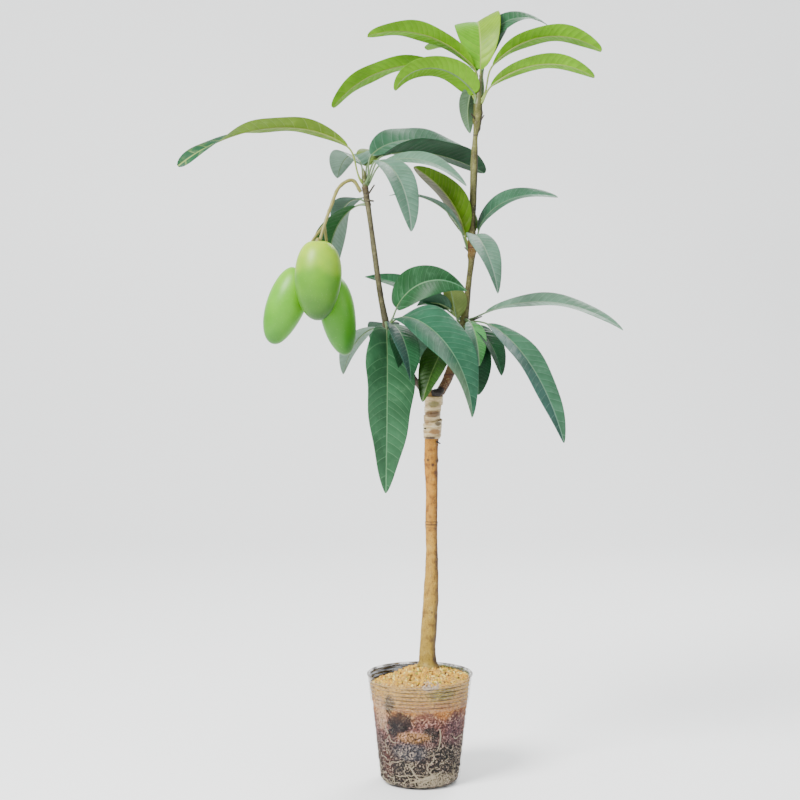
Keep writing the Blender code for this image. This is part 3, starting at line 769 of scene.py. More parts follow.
def blade_material(name, upper):
    """A mango leaf: leathery, thinly waxed above, paler and duller below, with pale pressed veins."""
    material, tree = start_material(name)
    layout = add(tree, "ShaderNodeUVMap", uv_map="veins").outputs["UV"]
    parts = add(tree, "ShaderNodeSeparateXYZ", {"Vector": layout})
    number, offset = parts.outputs["X"], parts.outputs["Y"]
    place = object_place(tree)
    from_vein = math_node(tree, "PINGPONG", number, 0.5)
    line = between(tree, from_vein, 0.012, 0.05, 1.0, 0.0)
    reach = math_node(tree, "ABSOLUTE", offset)
    midrib = between(tree, reach, 0.5, 1.3, 1.0, 0.0)
    blade = add(tree, "ShaderNodeAttribute", attribute_name="blade_colour").outputs["Color"]
    vein = add(tree, "ShaderNodeAttribute", attribute_name="vein_colour").outputs["Color"]
    dull = mixed(tree, 1.0, blade, colour("#C4C9C0"), "MULTIPLY")
    shade = between(tree, speckle(tree, 0.035, 3.0, 0.6, place), 0.35, 0.68, 0.0, 0.75)
    base = mixed(tree, shade, blade, dull)
    bloom = between(tree, speckle(tree, 0.012, 4.0, 0.65, place), 0.5, 0.72, 0.0, 0.22)
    base = mixed(tree, bloom, base, vein)
    # Painted shade: each panel between side veins is darkest just past its vein and fades towards the next,
    # standing for the shading of the quilted bulge.
    painted_quilt_shade = between(tree, math_node(tree, "FRACT", number), 0.0, 0.9, 0.4, 0.0)
    base = mixed(tree, painted_quilt_shade, base, dull)
    base = mixed(tree, math_node(tree, "MULTIPLY", line, 0.42 if upper else 0.34), base, vein)
    base = mixed(tree, math_node(tree, "MULTIPLY", midrib, 0.8), base, vein)
    net = {"Vector": place, "Scale": 1 / LEAF_NET}
    net = add(tree, "ShaderNodeTexVoronoi", net, feature="DISTANCE_TO_EDGE").outputs["Distance"]
    grain = math_node(tree, "MULTIPLY", between(tree, net, 0.0, 0.12), 0.18)
    height = math_node(tree, "MULTIPLY_ADD", line, -0.6 if upper else 0.9, grain)
    surface = add(tree, "ShaderNodeBsdfPrincipled", {
        "Base Color": base, "Roughness": 0.46 if upper else 0.6, "IOR": 1.45,
        "Specular IOR Level": 0.36, "Normal": bump(tree, height, 0.0004, 0.6),
    }).outputs[0]
    glow = add(tree, "ShaderNodeBsdfTranslucent", {"Color": base}).outputs[0]
    end_material(tree, add(tree, "ShaderNodeMixShader", {0: 0.25, 1: surface, 2: glow}).outputs[0])
    return material


def mottled_material(name, tones, size, surface, relief):
    """A surface of two mottled tones; relief is the size, depth and strength of its grain."""
    material, tree = start_material(name)
    base = mixed(tree, speckle(tree, size), *(colour(tone) for tone in tones))
    grain, depth, strength = relief
    end_material(tree, add(tree, "ShaderNodeBsdfPrincipled", {
        "Base Color": base, "Normal": bump(tree, speckle(tree, grain), depth, strength), **surface,
    }).outputs[0])
    return material


def stalk_material(name, tone, deep):
    """A leaf stalk or midrib: smooth, waxy and paler than its blade."""
    surface = {"Roughness": 0.45, "IOR": 1.45}
    return mottled_material(name, (tone, deep), 0.006, surface, (0.0009, 0.0002, 0.3))


def limb_reading(tree, share, limb, field):
    """A limb's x, y or radius in metres, at this share of the way up it, read from its stations."""
    heights = [station.height for station in limb]
    values = [getattr(station, field) for station in limb]
    low, reach = min(values), max(values) - min(values)
    node = add(tree, "ShaderNodeFloatCurve", {"Value": share})
    curve = node.mapping.curves[0]
    places = [(height - heights[0]) / (heights[-1] - heights[0]) for height in heights]
    levels = [(value - low) / reach for value in values]
    curve.points[0].location, curve.points[1].location = (0.0, levels[0]), (1.0, levels[-1])
    for place, level in zip(places[1:-1], levels[1:-1]):
        curve.points.new(place, level)
    node.mapping.update()
    return math_node(tree, "MULTIPLY_ADD", node.outputs[0], reach * MM, low * MM)


def bark_material(name, limb, heights, speckle_colour, knots, rings=()):
    """Young mango bark: waxy cork over green, with fine lenticels, leaf scars and painted shade down its +x
    side.
    """
    material, tree = start_material(name)
    place = object_place(tree)
    parts = add(tree, "ShaderNodeSeparateXYZ", {"Vector": place})
    z = parts.outputs["Z"]
    low, high = heights[0][0] * MM, heights[-1][0] * MM
    wander = math_node(tree, "MULTIPLY_ADD", speckle(tree, 0.02, where=place), 0.02, -0.01)
    height = add(tree, "ShaderNodeMapRange", {
        "Value": math_node(tree, "ADD", z, wander), "From Min": low, "From Max": high,
    }).outputs["Result"]
    tone = ramp(tree, height, [((h * MM - low) / (high - low), c) for h, c in heights])
    deep = mixed(tree, 1.0, tone, colour("#9A8060"), "MULTIPLY")
    light = mixed(tree, 0.3, tone, colour("#A99F6B"), "SCREEN")
    blotch = speckle(tree, 0.009, 4.0, 0.62, place)
    tone = mixed(tree, between(tree, blotch, 0.5, 0.68, 0.0, 0.75), tone, deep)
    tone = mixed(tree, between(tree, blotch, 0.46, 0.34, 0.0, 0.45), tone, light)
    streak = add(tree, "ShaderNodeMapping", {"Vector": place, "Scale": (1.0, 1.0, 0.3)}).outputs[0]
    lines = speckle(tree, 0.0026, 4.0, 0.6, streak)
    tone = mixed(tree, between(tree, lines, 0.52, 0.68, 0.0, 0.5), tone, deep)
    dots = speckle(tree, 0.0016, 2.0, 0.5, place)
    tone = mixed(tree, between(tree, dots, 0.6, 0.7, 0.0, 0.8), tone, colour(speckle_colour))
    # Painted shade: the bark darkens towards each limb's +x side, away from the key light, in a band with a
    # blotchy edge.
    share = add(tree, "ShaderNodeMapRange", {
        "Value": z, "From Min": limb[0].height * MM, "From Max": limb[-1].height * MM,
    }).outputs["Result"]
    across = math_node(tree, "SUBTRACT", parts.outputs["X"], limb_reading(tree, share, limb, "x"))
    across = math_node(tree, "DIVIDE", across, limb_reading(tree, share, limb, "radius"))
    across = math_node(tree, "ADD", across, math_node(tree, "MULTIPLY_ADD", blotch, 0.5, -0.25))
    painted_side_shade = mixed(tree, 1.0, tone, colour("#7C6440"), "MULTIPLY")
    tone = mixed(tree, between(tree, across, 0.3, 0.95, 0.0, 0.85), tone, painted_side_shade)
    for ring_height, reach, shade in rings:
        apart = math_node(tree, "ABSOLUTE", math_node(tree, "SUBTRACT", z, ring_height * MM))
        ring = between(tree, apart, reach * 0.4 * MM, reach * MM, 0.85, 0.0)
        tone = mixed(tree, ring, tone, colour(shade))
    for x, y, knot_z, size, shade in knots:
        centre = (x * MM, y * MM, knot_z * MM)
        apart = add(tree, "ShaderNodeVectorMath", {0: place, 1: centre}, operation="DISTANCE")
        apart = math_node(tree, "MULTIPLY_ADD", dots, 0.6 * size * MM, apart.outputs["Value"])
        spot = between(tree, apart, size * 0.7 * MM, size * 1.5 * MM, 0.92, 0.0)
        tone = mixed(tree, spot, tone, colour(shade))
    height = math_node(tree, "ADD", lines, math_node(tree, "MULTIPLY", dots, 0.7))
    end_material(tree, add(tree, "ShaderNodeBsdfPrincipled", {
        "Base Color": tone, "Roughness": 0.62, "IOR": 1.45, "Normal": bump(tree, height, 0.0006, 0.7),
    }).outputs[0])
    return material


BACK_DARK_DEPTH = 14.0 * MM  # how far below the soil's edge the film's back is darkened, where the soil dips


def film_material():
    """Clear polythene cup film: glossy and scuffed, with a painted highlight on each rib's crest and
    painted shade between the ribs.
    """
    material, tree = start_material("polythene cup film")
    place = object_place(tree)
    parts = add(tree, "ShaderNodeSeparateXYZ", {"Vector": place})
    x, y, z = parts.outputs["X"], parts.outputs["Y"], parts.outputs["Z"]
    turn = math_node(tree, "MULTIPLY", math_node(tree, "SUBTRACT", z, LOWEST_RIB), 2 * math.pi / RIB_PITCH)
    wave = math_node(tree, "COSINE", turn)
    ribbed = math_node(tree, "MULTIPLY", between(tree, z, LOWEST_RIB - RIB_PITCH * 0.7, LOWEST_RIB),
                       between(tree, z, RIBS_END, RIBS_END + RIB_PITCH * 0.7, 1.0, 0.0))
    patchy = between(tree, speckle(tree, 0.02, 3.0, where=place), 0.3, 0.6, 0.3, 1.0)
    ribbed = math_node(tree, "MULTIPLY", ribbed, patchy)
    # Painted highlight on each rib's crest and painted shade in the groove under it, so that the ribs show
    # on the clear film.
    painted_crest_highlight = math_node(tree, "MULTIPLY", between(tree, wave, 0.45, 0.95), ribbed)
    painted_groove_shade = math_node(tree, "MULTIPLY", between(tree, wave, -0.35, -0.9), ribbed)
    # The film's back above the dipped soil takes a dark tone, near black to the left and olive to the
    # right, in streaks.
    above_soil = between(tree, z, SOIL_EDGE - BACK_DARK_DEPTH, SOIL_EDGE - BACK_DARK_DEPTH + 3 * MM)
    back_darkening = math_node(tree, "MULTIPLY", above_soil, between(tree, y, 0.0, 0.03))
    streaks = add(tree, "ShaderNodeMapping", {"Vector": place, "Scale": (0.25, 0.25, 2.0)}).outputs[0]
    uneven = between(tree, speckle(tree, 0.006, 4.0, 0.6, streaks), 0.3, 0.6, 0.6, 0.95)
    back_darkening = math_node(tree, "MULTIPLY", back_darkening, uneven)
    scuff = between(tree, speckle(tree, 0.016, 4.0, where=place), 0.5, 0.8, 0.0, 0.05)
    # The film shows more towards its outline: partly its milkiness seen edge-on, partly a painted
    # reflection at grazing angles.
    facing = add(tree, "ShaderNodeLayerWeight", {"Blend": 0.25}).outputs["Facing"]
    film_shown = math_node(tree, "MULTIPLY_ADD", math_node(tree, "POWER", facing, 5.0), 0.35, scuff)
    # The film's own surface shows at the painted rib highlights and at the painted shade in the grooves,
    # where its tone turns dark brown.
    film_shown = math_node(tree, "MULTIPLY_ADD", painted_crest_highlight, 0.24, film_shown)
    film_shown = math_node(tree, "MULTIPLY_ADD", painted_groove_shade, 0.58, film_shown)
    film_shown = math_node(tree, "MAXIMUM", film_shown, back_darkening)
    tone = mixed(tree, painted_groove_shade, colour("#B5A288"), colour("#2E1A0A"))
    back_dark_tone = mixed(tree, between(tree, x, -0.01, 0.03), colour("#16120E"), colour("#5A6129"))
    tone = mixed(tree, between(tree, back_darkening, 0.1, 0.4), tone, back_dark_tone)
    film = add(tree, "ShaderNodeBsdfPrincipled", {
        "Base Color": tone, "Roughness": 0.22, "IOR": 1.5,
        "Normal": bump(tree, speckle(tree, 0.004), 0.0003, 0.25),
    }).outputs[0]
    end_clear(tree, film_shown, film)
    return material


def rim_material():
    """The rolled rim of the film: the same polythene, dusted with soil, dark where it folds."""
    material, tree = start_material("rolled polythene rim")
    dust = speckle(tree, 0.012, 4.0)
    film_shown = between(tree, dust, 0.35, 0.65, 0.3, 0.9)
    y = add(tree, "ShaderNodeSeparateXYZ", {"Vector": object_place(tree)}).outputs["Y"]
    film_shown = math_node(tree, "MULTIPLY", film_shown, between(tree, y, -0.045, 0.0, 0.08, 1.0))
    folds = between(tree, speckle(tree, 0.006, 3.0), 0.42, 0.6)
    tone = mixed(tree, folds, colour("#64533A"), colour("#2A2219"))
    film = add(tree, "ShaderNodeBsdfPrincipled", {
        "Base Color": tone, "Roughness": 0.25, "IOR": 1.5,
    }).outputs[0]
    end_clear(tree, film_shown, film)
    return material


def patched(tree, tone, patches, place_parts, front, ragged):
    """Lays patches with ragged edges over a colour, on the side that faces the front.

    A patch is the x and z of its middle, its reach along both, all in millimetres, and its colour.
    """
    x, z = place_parts.outputs["X"], place_parts.outputs["Z"]
    for middle_x, middle_z, reach_x, reach_z, shade in patches:
        dx = math_node(tree, "DIVIDE", math_node(tree, "SUBTRACT", x, middle_x * MM), reach_x * MM)
        dz = math_node(tree, "DIVIDE", math_node(tree, "SUBTRACT", z, middle_z * MM), reach_z * MM)
        apart = math_node(tree, "ADD", *(math_node(tree, "MULTIPLY", d, d) for d in (dx, dz)))
        patch = between(tree, math_node(tree, "ADD", apart, ragged), 0.45, 1.5, 0.95, 0.0)
        tone = mixed(tree, math_node(tree, "MULTIPLY", patch, front), tone, colour(shade))
    return tone


# Patches of the root ball as it shows through the front of the film. Around the back the same mix
# goes on by noise alone.
BALL_PATCHES = (
    (28.0, 107.0, 18.0, 11.0, "#9A5F2A"),
    (8.0, 95.0, 17.0, 13.0, "#623A33"),
    (49.0, 80.0, 15.0, 25.0, "#4A2D33"),
    (-54.0, 99.0, 11.0, 21.0, "#A27F60"),
    (-26.0, 91.0, 18.0, 15.0, "#07040A"),
    (-41.0, 114.0, 7.0, 13.0, "#0B060F"),
    (-35.0, 79.0, 8.0, 10.0, "#09060C"),
    (13.0, 76.0, 13.0, 11.0, "#17100C"),
    (-9.0, 72.0, 21.0, 8.0, "#8C6437"),
    (-13.0, 52.0, 24.0, 12.0, "#33343C"),
    (30.0, 47.0, 20.0, 15.0, "#0C0907"),
    (-47.0, 33.0, 11.0, 23.0, "#3A0C07"),
    (-19.0, 31.0, 12.0, 9.0, "#060504"),
    (22.0, 12.0, 26.0, 9.0, "#877B64"),
    (28.0, 130.0, 19.0, 8.0, "#6B6417"),
    (13.0, 141.0, 12.0, 5.0, "#B0A194"),
)


def root_ball_material():
    """Moist coir and bark compost: golden crumbs above, darker and pinker below, matt and gritty."""
    material, tree = start_material("coir and bark compost")
    place = object_place(tree)
    parts = add(tree, "ShaderNodeSeparateXYZ", {"Vector": place})
    y, z = parts.outputs["Y"], parts.outputs["Z"]
    wander = math_node(tree, "MULTIPLY_ADD", speckle(tree, 0.022, 3.0), 0.05, -0.025)
    height = add(tree, "ShaderNodeMapRange", {
        "Value": math_node(tree, "ADD", z, wander), "From Min": 0.0, "From Max": 0.15,
    }).outputs["Result"]
    tone = ramp(tree, height, (
        (0.0, "#130D0A"), (0.22, "#1F1612"), (0.42, "#3F2828"),
        (0.6, "#683C34"), (0.72, "#94602E"), (0.85, "#B38A3A"),
    ))
    ragged = math_node(tree, "MULTIPLY_ADD", speckle(tree, 0.006, 5.0, 0.7), 2.6, -1.3)
    tone = patched(tree, tone, BALL_PATCHES, parts, between(tree, y, -0.01, -0.035), ragged)
    golden = between(tree, z, 0.085, 0.115)
    grit = speckle(tree, 0.0025, 3.0, 0.65)
    fine = speckle(tree, 0.008, 2.0, 0.6)
    pale = mixed(tree, between(tree, z, 0.05, 0.075), colour("#A89581"), colour("#BB9086"))
    pale = mixed(tree, golden, pale, colour("#E0B653"))
    lightness = add(tree, "ShaderNodeRGBToBW", {"Color": tone}).outputs["Val"]
    reach = math_node(tree, "MAXIMUM", between(tree, z, 0.055, 0.085, 1.0, 0.0),
                      between(tree, lightness, 0.004, 0.045, 0.1, 0.85))
    strength = math_node(tree, "MULTIPLY", between(tree, fine, 0.38, 0.6, 0.3, 0.95), reach)
    strength = math_node(tree, "MAXIMUM", strength, math_node(tree, "MULTIPLY", golden, 0.5))
    pale = mixed(tree, strength, tone, pale)
    dark = mixed(tree, golden, colour("#050303"), colour("#583412"))
    for low, high, held_back, crumb in ((0.53, 0.6, 0.6, pale), (0.49, 0.42, 0.65, dark)):
        share = between(tree, golden, 0.0, 1.0, 0.95, held_back)
        share = math_node(tree, "MULTIPLY", between(tree, grit, low, high), share)
        tone = mixed(tree, share, tone, crumb)
    crumbs = add(tree, "ShaderNodeTexVoronoi", {"Vector": place, "Scale": 1 / 0.0042}).outputs["Distance"]
    height = math_node(tree, "ADD", crumbs, grit)
    end_material(tree, add(tree, "ShaderNodeBsdfPrincipled", {
        "Base Color": tone, "Roughness": 0.9, "Normal": bump(tree, height, 0.0015, 0.8),
    }).outputs[0])
    return material


def crumb_material(name, tone, deep):
    """One colour of coir chip or bark crumb: dry, fibrous and matt."""
    return mottled_material(name, (tone, deep), 0.0022, {"Roughness": 0.85}, (0.0008, 0.0004, 0.6))


def root_material():
    """Live mango roots pressed to the film: cream, slightly moist."""
    tones = ("#9F967F", "#726146")
    return mottled_material("cream feeder roots", tones, 0.006, {"Roughness": 0.6}, (0.001, 0.0003, 0.4))


# Where wet wood shows through the film.
TAPE_PATCHES = (
    (17.0, 496.0, 10.0, 4.6, "#583C19"),
    (24.0, 483.0, 4.5, 3.0, "#54462A"),
    (20.0, 472.5, 8.0, 3.6, "#805B2A"),
    (14.0, 464.0, 7.5, 2.2, "#34200C"),
    (18.0, 509.0, 7.5, 4.2, "#6A6030"),
    (9.0, 485.0, 3.0, 3.6, "#8C7046"),
)


def tape_material():
    """Wound grafting film: stretched polythene, milky where its turns overlap, wet wood showing under."""
    material, tree = start_material("stretched grafting film")
    place = object_place(tree)
    streak = add(tree, "ShaderNodeMapping", {"Vector": place, "Scale": (0.35, 0.35, 1.6)}).outputs[0]
    bands = speckle(tree, 0.005, 3.0, 0.6, streak)
    tone = ramp(tree, bands, ((0.3, "#7E663B"), (0.45, "#A58E62"), (0.6, "#BBAA84"), (0.75, "#C9C2AC")))
    parts = add(tree, "ShaderNodeSeparateXYZ", {"Vector": place})
    ragged = math_node(tree, "MULTIPLY_ADD", speckle(tree, 0.004, 3.0), 1.2, -0.6)
    tone = patched(tree, tone, TAPE_PATCHES, parts, between(tree, parts.outputs["Y"], 0.004, 0.0), ragged)
    end_material(tree, add(tree, "ShaderNodeBsdfPrincipled", {
        "Base Color": tone, "Roughness": 0.28, "IOR": 1.5, "Normal": bump(tree, bands, 0.0008, 0.6),
    }).outputs[0])
    return material


def skin_material():
    """Unripe mango skin: firm, waxy green with tiny pale lenticels."""
    material, tree = start_material("unripe mango skin")
    # The skin colour from stalk to tip holds painted light at the top and painted shade below, as well as
    # the fruit's own colour.
    shade = add(tree, "ShaderNodeAttribute", attribute_name="skin_colour").outputs["Color"]
    blotch = between(tree, speckle(tree, 0.03, 3.0), 0.35, 0.7, 0.0, 0.5)
    tone = mixed(tree, blotch, shade, mixed(tree, 1.0, shade, colour("#DDE8C0"), "MULTIPLY"))
    dots = add(tree, "ShaderNodeTexVoronoi", {"Vector": object_place(tree), "Scale": 1 / 0.0034})
    pores = between(tree, dots.outputs["Distance"], 0.08, 0.18, 0.25, 0.0)
    tone = mixed(tree, pores, tone, colour("#93A167"))
    end_material(tree, add(tree, "ShaderNodeBsdfPrincipled", {
        "Base Color": tone, "Roughness": 0.4, "IOR": 1.45, "Specular IOR Level": 0.4,
        "Subsurface Weight": 0.05, "Normal": bump(tree, speckle(tree, 0.004), 0.0003, 0.25),
    }).outputs[0])
    return material


def charred_material():
    """The healed stub of the cut stock: nearly black, cracked."""
    material, tree = start_material("healed black stub")
    cracks = speckle(tree, 0.002, 4.0, 0.7)
    base = mixed(tree, cracks, colour("#070605"), colour("#281C16"))
    end_material(tree, add(tree, "ShaderNodeBsdfPrincipled", {
        "Base Color": base, "Roughness": 0.8, "Normal": bump(tree, cracks, 0.0015, 0.9),
    }).outputs[0])
    return material


def floor_material():
    """The seamless floor and backdrop: near white and quite matt."""
    material, tree = start_material("pale studio floor")
    end_material(tree, add(tree, "ShaderNodeBsdfPrincipled", {
        "Base Color": colour("#FBFBFA"), "Roughness": 0.9,
    }).outputs[0])
    return material


# Limbs. Relief on a limb: raised rings, scars and knots at named places.


class Mark(NamedTuple):
    """A raised or sunk spot on a limb: height, the way it faces in degrees, reach and rise in mm."""

    height: float
    around: float
    up_reach: float
    side_reach: float
    rise: float


ALL_ROUND = 400.0
LIMB_MARKS = {
    "trunk": (
        Mark(349.5, 0, 1.6, ALL_ROUND, 0.7),
        Mark(345.5, 0, 1.4, ALL_ROUND, 0.5),
        Mark(434.0, 200, 2.2, 2.4, 0.9),
        Mark(428.0, 268, 2.6, 3.0, 1.1),
        Mark(433.0, 350, 2.6, 3.5, 1.4),
        Mark(300.0, 30, 3.0, 4.0, 0.9),
        Mark(250.0, 130, 4.0, 5.0, 0.9),
        Mark(212.0, 330, 3.0, 4.0, 0.8),
        Mark(395.0, 100, 3.0, 4.0, 1.0),
    ),
    "leader": (
        Mark(716.0, 20, 3.0, ALL_ROUND, 0.6),
        Mark(706.0, 190, 3.0, 3.0, 1.4),
        Mark(722.0, 330, 3.0, 3.0, 1.2),
        Mark(711.0, 100, 3.0, 3.0, 1.2),
        Mark(884.0, 160, 4.0, 2.6, 1.5),
        Mark(893.0, 330, 4.0, 2.6, 1.5),
        Mark(899.0, 250, 4.0, 2.6, 1.5),
        Mark(872.0, 20, 3.0, 2.6, 1.2),
        Mark(600.0, 20, 2.4, 3.0, 1.3),
        Mark(610.0, 130, 2.4, 3.0, 1.3),
        Mark(618.0, 250, 2.4, 3.0, 1.3),
        Mark(625.0, 320, 2.4, 3.0, 1.2),
        Mark(548.0, 0, 1.2, ALL_ROUND, 0.5),
    ),
    "side_shoot": (
        Mark(606.0, 30, 2.4, 2.6, 1.2),
        Mark(614.0, 160, 2.4, 2.6, 1.2),
        Mark(622.0, 280, 2.4, 2.6, 1.2),
        Mark(772.0, 340, 2.0, 2.4, 1.1),
        Mark(780.0, 200, 2.0, 2.4, 1.1),
        Mark(788.0, 90, 2.0, 2.4, 1.1),
        Mark(764.0, 300, 2.0, 2.0, 0.9),
        Mark(548.0, 0, 1.2, ALL_ROUND, 0.5),
    ),
}
BARK_ROUGHNESS = 0.045  # of the radius
BARK_BUMP = 6.0
BARK_SQUASH = 0.45  # heights are read closer together, which draws the grain out up the limb
TRUNK_ROOTING = 6.0  # how far the trunk's mesh runs on below soil level, out of sight
CROWN_RISE = 7.5  # the trunk ends in a low dome that both shoots grow out of
CROWN_STEPS = (1.5, 3.0, 4.5, 6.0, 7.0)
FLARE_TOP, FLARE_REACH, FLARE_RISE = 176.0, 20.0, 1.3


def limb_mesh(name):
    """A limb's fine surface: its round taper with bark relief, rings, scars and knots."""
    limb = LIMBS[name]
    sides = LIMB_SIDES[name]
    low, high = limb[0].height, limb[-1].height
    heights = np.linspace(low, high, round((high - low) / LIMB_RING_SPACING) + 1)
    if name == "trunk":
        heights = np.concatenate([[low - TRUNK_ROOTING], heights, high + np.array(CROWN_STEPS)])
    x, y, radius = limb_at(limb, heights).T
    radius = radius * np.sqrt(np.clip(1 - ((heights - high) / CROWN_RISE) ** 2 * (heights > high), 0.01, 1))
    turn = ring_turns(sides)
    drawn_out = level_rings(radius[:, None], heights * BARK_SQUASH, sides)
    grain = rough(drawn_out, BARK_BUMP, len(name)).reshape(len(heights), sides)
    reach = radius[:, None] * (1 + BARK_ROUGHNESS * grain)
    for mark in LIMB_MARKS[name]:
        up = np.exp(-(((heights - mark.height) / mark.up_reach) ** 2))[:, None]
        if mark.side_reach >= ALL_ROUND:
            reach = reach + mark.rise * up
        else:
            apart = np.angle(np.exp(1j * (turn - math.radians(mark.around))))[None] * radius[:, None]
            reach = reach + mark.rise * up * np.exp(-((apart / mark.side_reach) ** 2))
    if name == "trunk":
        flare = np.clip((FLARE_TOP - heights) / FLARE_REACH, 0, 1)[:, None] ** 2
        lobes = np.cos(4 * turn + 0.6)[None] * 0.5 + np.cos(7 * turn + 2.0)[None] * 0.25
        reach = reach + FLARE_RISE * flare * lobes
    points = level_rings(reach, heights, sides, x[:, None], y[:, None])
    return points * MM, tube_faces(len(heights), sides)


# Colours up each limb, from a height in millimetres. A ring is its height, reach and colour, and a
# knot is its place, size and colour.
TRUNK_COLOURS = (
    (150.0, "#877020"), (230.0, "#927320"), (330.0, "#A1761D"), (347.0, "#9B6C14"), (400.0, "#A77111"),
    (470.0, "#986610"), (521.0, "#654A13"),
)
TRUNK_RINGS = ((347.6, 1.1, "#372009"), (351.4, 0.9, "#4C2F0E"), (343.5, 0.7, "#644417"))
TRUNK_KNOTS = (
    (10.5, -8.0, 434.5, 2.2, "#281309"), (17.0, -9.5, 428.0, 3.0, "#3F1F06"),
    (22.5, -5.0, 433.0, 3.2, "#432F1A"), (19.0, -9.5, 395.0, 1.6, "#583713"),
    (21.5, -7.0, 320.0, 2.0, "#4F3815"), (9.5, -8.5, 290.0, 1.8, "#5B431C"),
    (16.0, -10.5, 230.0, 2.0, "#583F1E"), (21.0, -8.0, 205.0, 1.6, "#4F3817"),
    (5.0, -9.0, 250.0, 1.5, "#5B4620"),
)
LEADER_COLOURS = (
    (521.0, "#4B2509"), (552.0, "#563512"), (578.0, "#4B491E"), (640.0, "#535421"), (700.0, "#565324"),
    (716.0, "#684716"), (730.0, "#514D20"), (800.0, "#525224"), (862.0, "#565623"), (905.0, "#4B4F1E"),
)
LEADER_RINGS = (
    (716.5, 1.4, "#3F200C"), (548.0, 1.2, "#341709"), (608.0, 1.0, "#2A200E"), (864.0, 1.5, "#372F17"),
)
SIDE_COLOURS = (
    (521.0, "#140B07"), (545.0, "#2D1E0C"), (600.0, "#3D3820"), (700.0, "#484428"), (780.0, "#4F4A2F"),
    (795.0, "#43371E"),
)
SIDE_RINGS = ((610.0, 1.2, "#281F12"), (776.0, 1.0, "#2A2315"), (786.0, 1.0, "#2A2315"))


# Cut stalks that stand on the bark.


class Stub(NamedTuple):
    """A cut leaf stalk: its foot, its end and the radius at each, in millimetres."""

    foot: tuple
    end: tuple
    thick: float
    thin: float


STUBS = (
    Stub((61.0, -1.0, 616.0), (82.0, -6.0, 625.5), 1.3, 0.9),
    Stub((57.5, -4.0, 597.0), (66.0, -9.0, 598.0), 1.4, 1.0),
    Stub((10.0, -7.5, 476.0), (5.0, -9.5, 477.0), 1.2, 0.9),
    Stub((22.0, -8.0, 459.0), (27.0, -10.0, 456.5), 1.2, 0.9),
    Stub((-69.0, -31.0, 777.0), (-61.0, -34.0, 776.0), 1.5, 1.2),
    Stub((-70.0, -31.0, 782.0), (-60.0, -35.0, 797.0), 1.3, 1.0),
    Stub((67.0, 3.0, 709.0), (59.0, 5.0, 717.0), 1.4, 0.8),
    Stub((73.5, -3.0, 884.0), (67.0, -6.0, 892.0), 1.3, 0.8),
    Stub((77.5, -3.0, 880.0), (84.0, -6.0, 890.0), 1.3, 0.8),
)
STUB_ROWS = 7
STUB_SIDES = 10
DEAD_STUB = ((14.5, -7.0, 522.0), (23.0, -8.5, 524.5), (31.5, -7.0, 529.0))
DEAD_STUB_RADIUS = 5.2
DEAD_STUB_SWELL = (0.2, 0.6, 0.85, 1.0, 1.1, 1.12, 1.1, 1.06, 1.02, 1.0, 0.97, 0.92, 0.8, 0.55, 0.15)
DEAD_STUB_SIDES = 28
DEAD_STUB_LUMP = 4.0
DEAD_STUB_ROUGHNESS = 0.22  # of the radius


# The pot, root ball and what shows through the film.


def pot_radius(settings, height):
    """The outer radius of the pot's plain cone at a height."""
    return settings.foot_radius + (settings.rim_radius - settings.foot_radius) * height / settings.height


def corner_inset(height):
    """How far the pot's rounded corner lies inside that cone at a height."""
    below = max(0.0, 1 - height / POT_CORNER)
    return POT_CORNER * (1 - math.sqrt(max(0.0, 1 - below**2)))


POT_SIDES = 160
CORNER_ROWS = 8
WALL_ROWS = 170
LIP = 1.5 * MM
LIP_FLATTENING = 0.9
LIP_ROWS = 14
LIP_INSET = 0.1 * MM


def wall_profile(settings, inset):
    """The film's wall from the flat foot to just under the rim: a rounded corner, then pressed ribs."""
    rows = []
    for step in range(CORNER_ROWS + 1):
        turn = math.radians(90 * step / CORNER_ROWS)
        radius = pot_radius(settings, POT_CORNER) - POT_CORNER * (1 - math.sin(turn)) - inset
        rows.append((max(radius, 0.0), POT_CORNER * (1 - math.cos(turn)) + inset))
    top = settings.height - 2 * LIP
    for height in np.linspace(POT_CORNER, top, WALL_ROWS)[1:]:
        rib = (height - LOWEST_RIB + RIB_PITCH / 2) / RIB_PITCH
        swell = 0.5 - 0.5 * math.cos(2 * math.pi * rib) if 0 <= rib <= RIB_COUNT else 0.0
        rows.append((pot_radius(settings, height) + settings.rib_height * swell**2 - inset, height))
    return rows


def rolled_lip(settings):
    """The rolled lip of the film: a closed ring with a round section."""
    angle = 2 * math.pi * np.arange(LIP_ROWS) / LIP_ROWS - math.pi / 2
    radius = settings.rim_radius - LIP_INSET + LIP * np.cos(angle) * LIP_FLATTENING
    height = settings.height - LIP + LIP * np.sin(angle)
    faces = sides_between(LIP_ROWS, POT_SIDES)
    last = (LIP_ROWS - 1) * POT_SIDES
    faces += [(last + k, last + (k + 1) % POT_SIDES, (k + 1) % POT_SIDES, k) for k in range(POT_SIDES)]
    return level_rings(radius[:, None], height, POT_SIDES), faces


BALL_SIDES = 220
BALL_INSET = 1.5 * MM
BALL_FOOT = 1.8 * MM
BALL_AXIS = 0.6 * MM
BALL_FOOT_ROWS, BALL_WALL_ROWS, BALL_TOP_ROWS = 12, 92, 30
FOOT_CORNER = 6 * MM
DIP_WAY = math.radians(140)
DIP_SPREAD = math.radians(66)
DIP_DEPTH = 12.0 * MM
DIP_REACH = 75.0
LUMP_SIZE = 0.0055
LUMP_STRETCH = 1.6
LUMP_SINK = 2.2 * MM
# How far in from the soil's edge, and how high over it, in millimetres.
MOUND = ((0.0, 0.0), (14.0, 4.0), (34.0, 9.0), (41.0, 12.2), (52.0, 14.6), (60.0, 15.8), (70.0, 16.0))


def mound_rise(inward):
    """How high the soil stands over its edge at these distances in from it, in millimetres."""
    inward_stations, rises = zip(*MOUND)
    return smooth_through(inward_stations, [[rise] for rise in rises], inward)[:, 0]


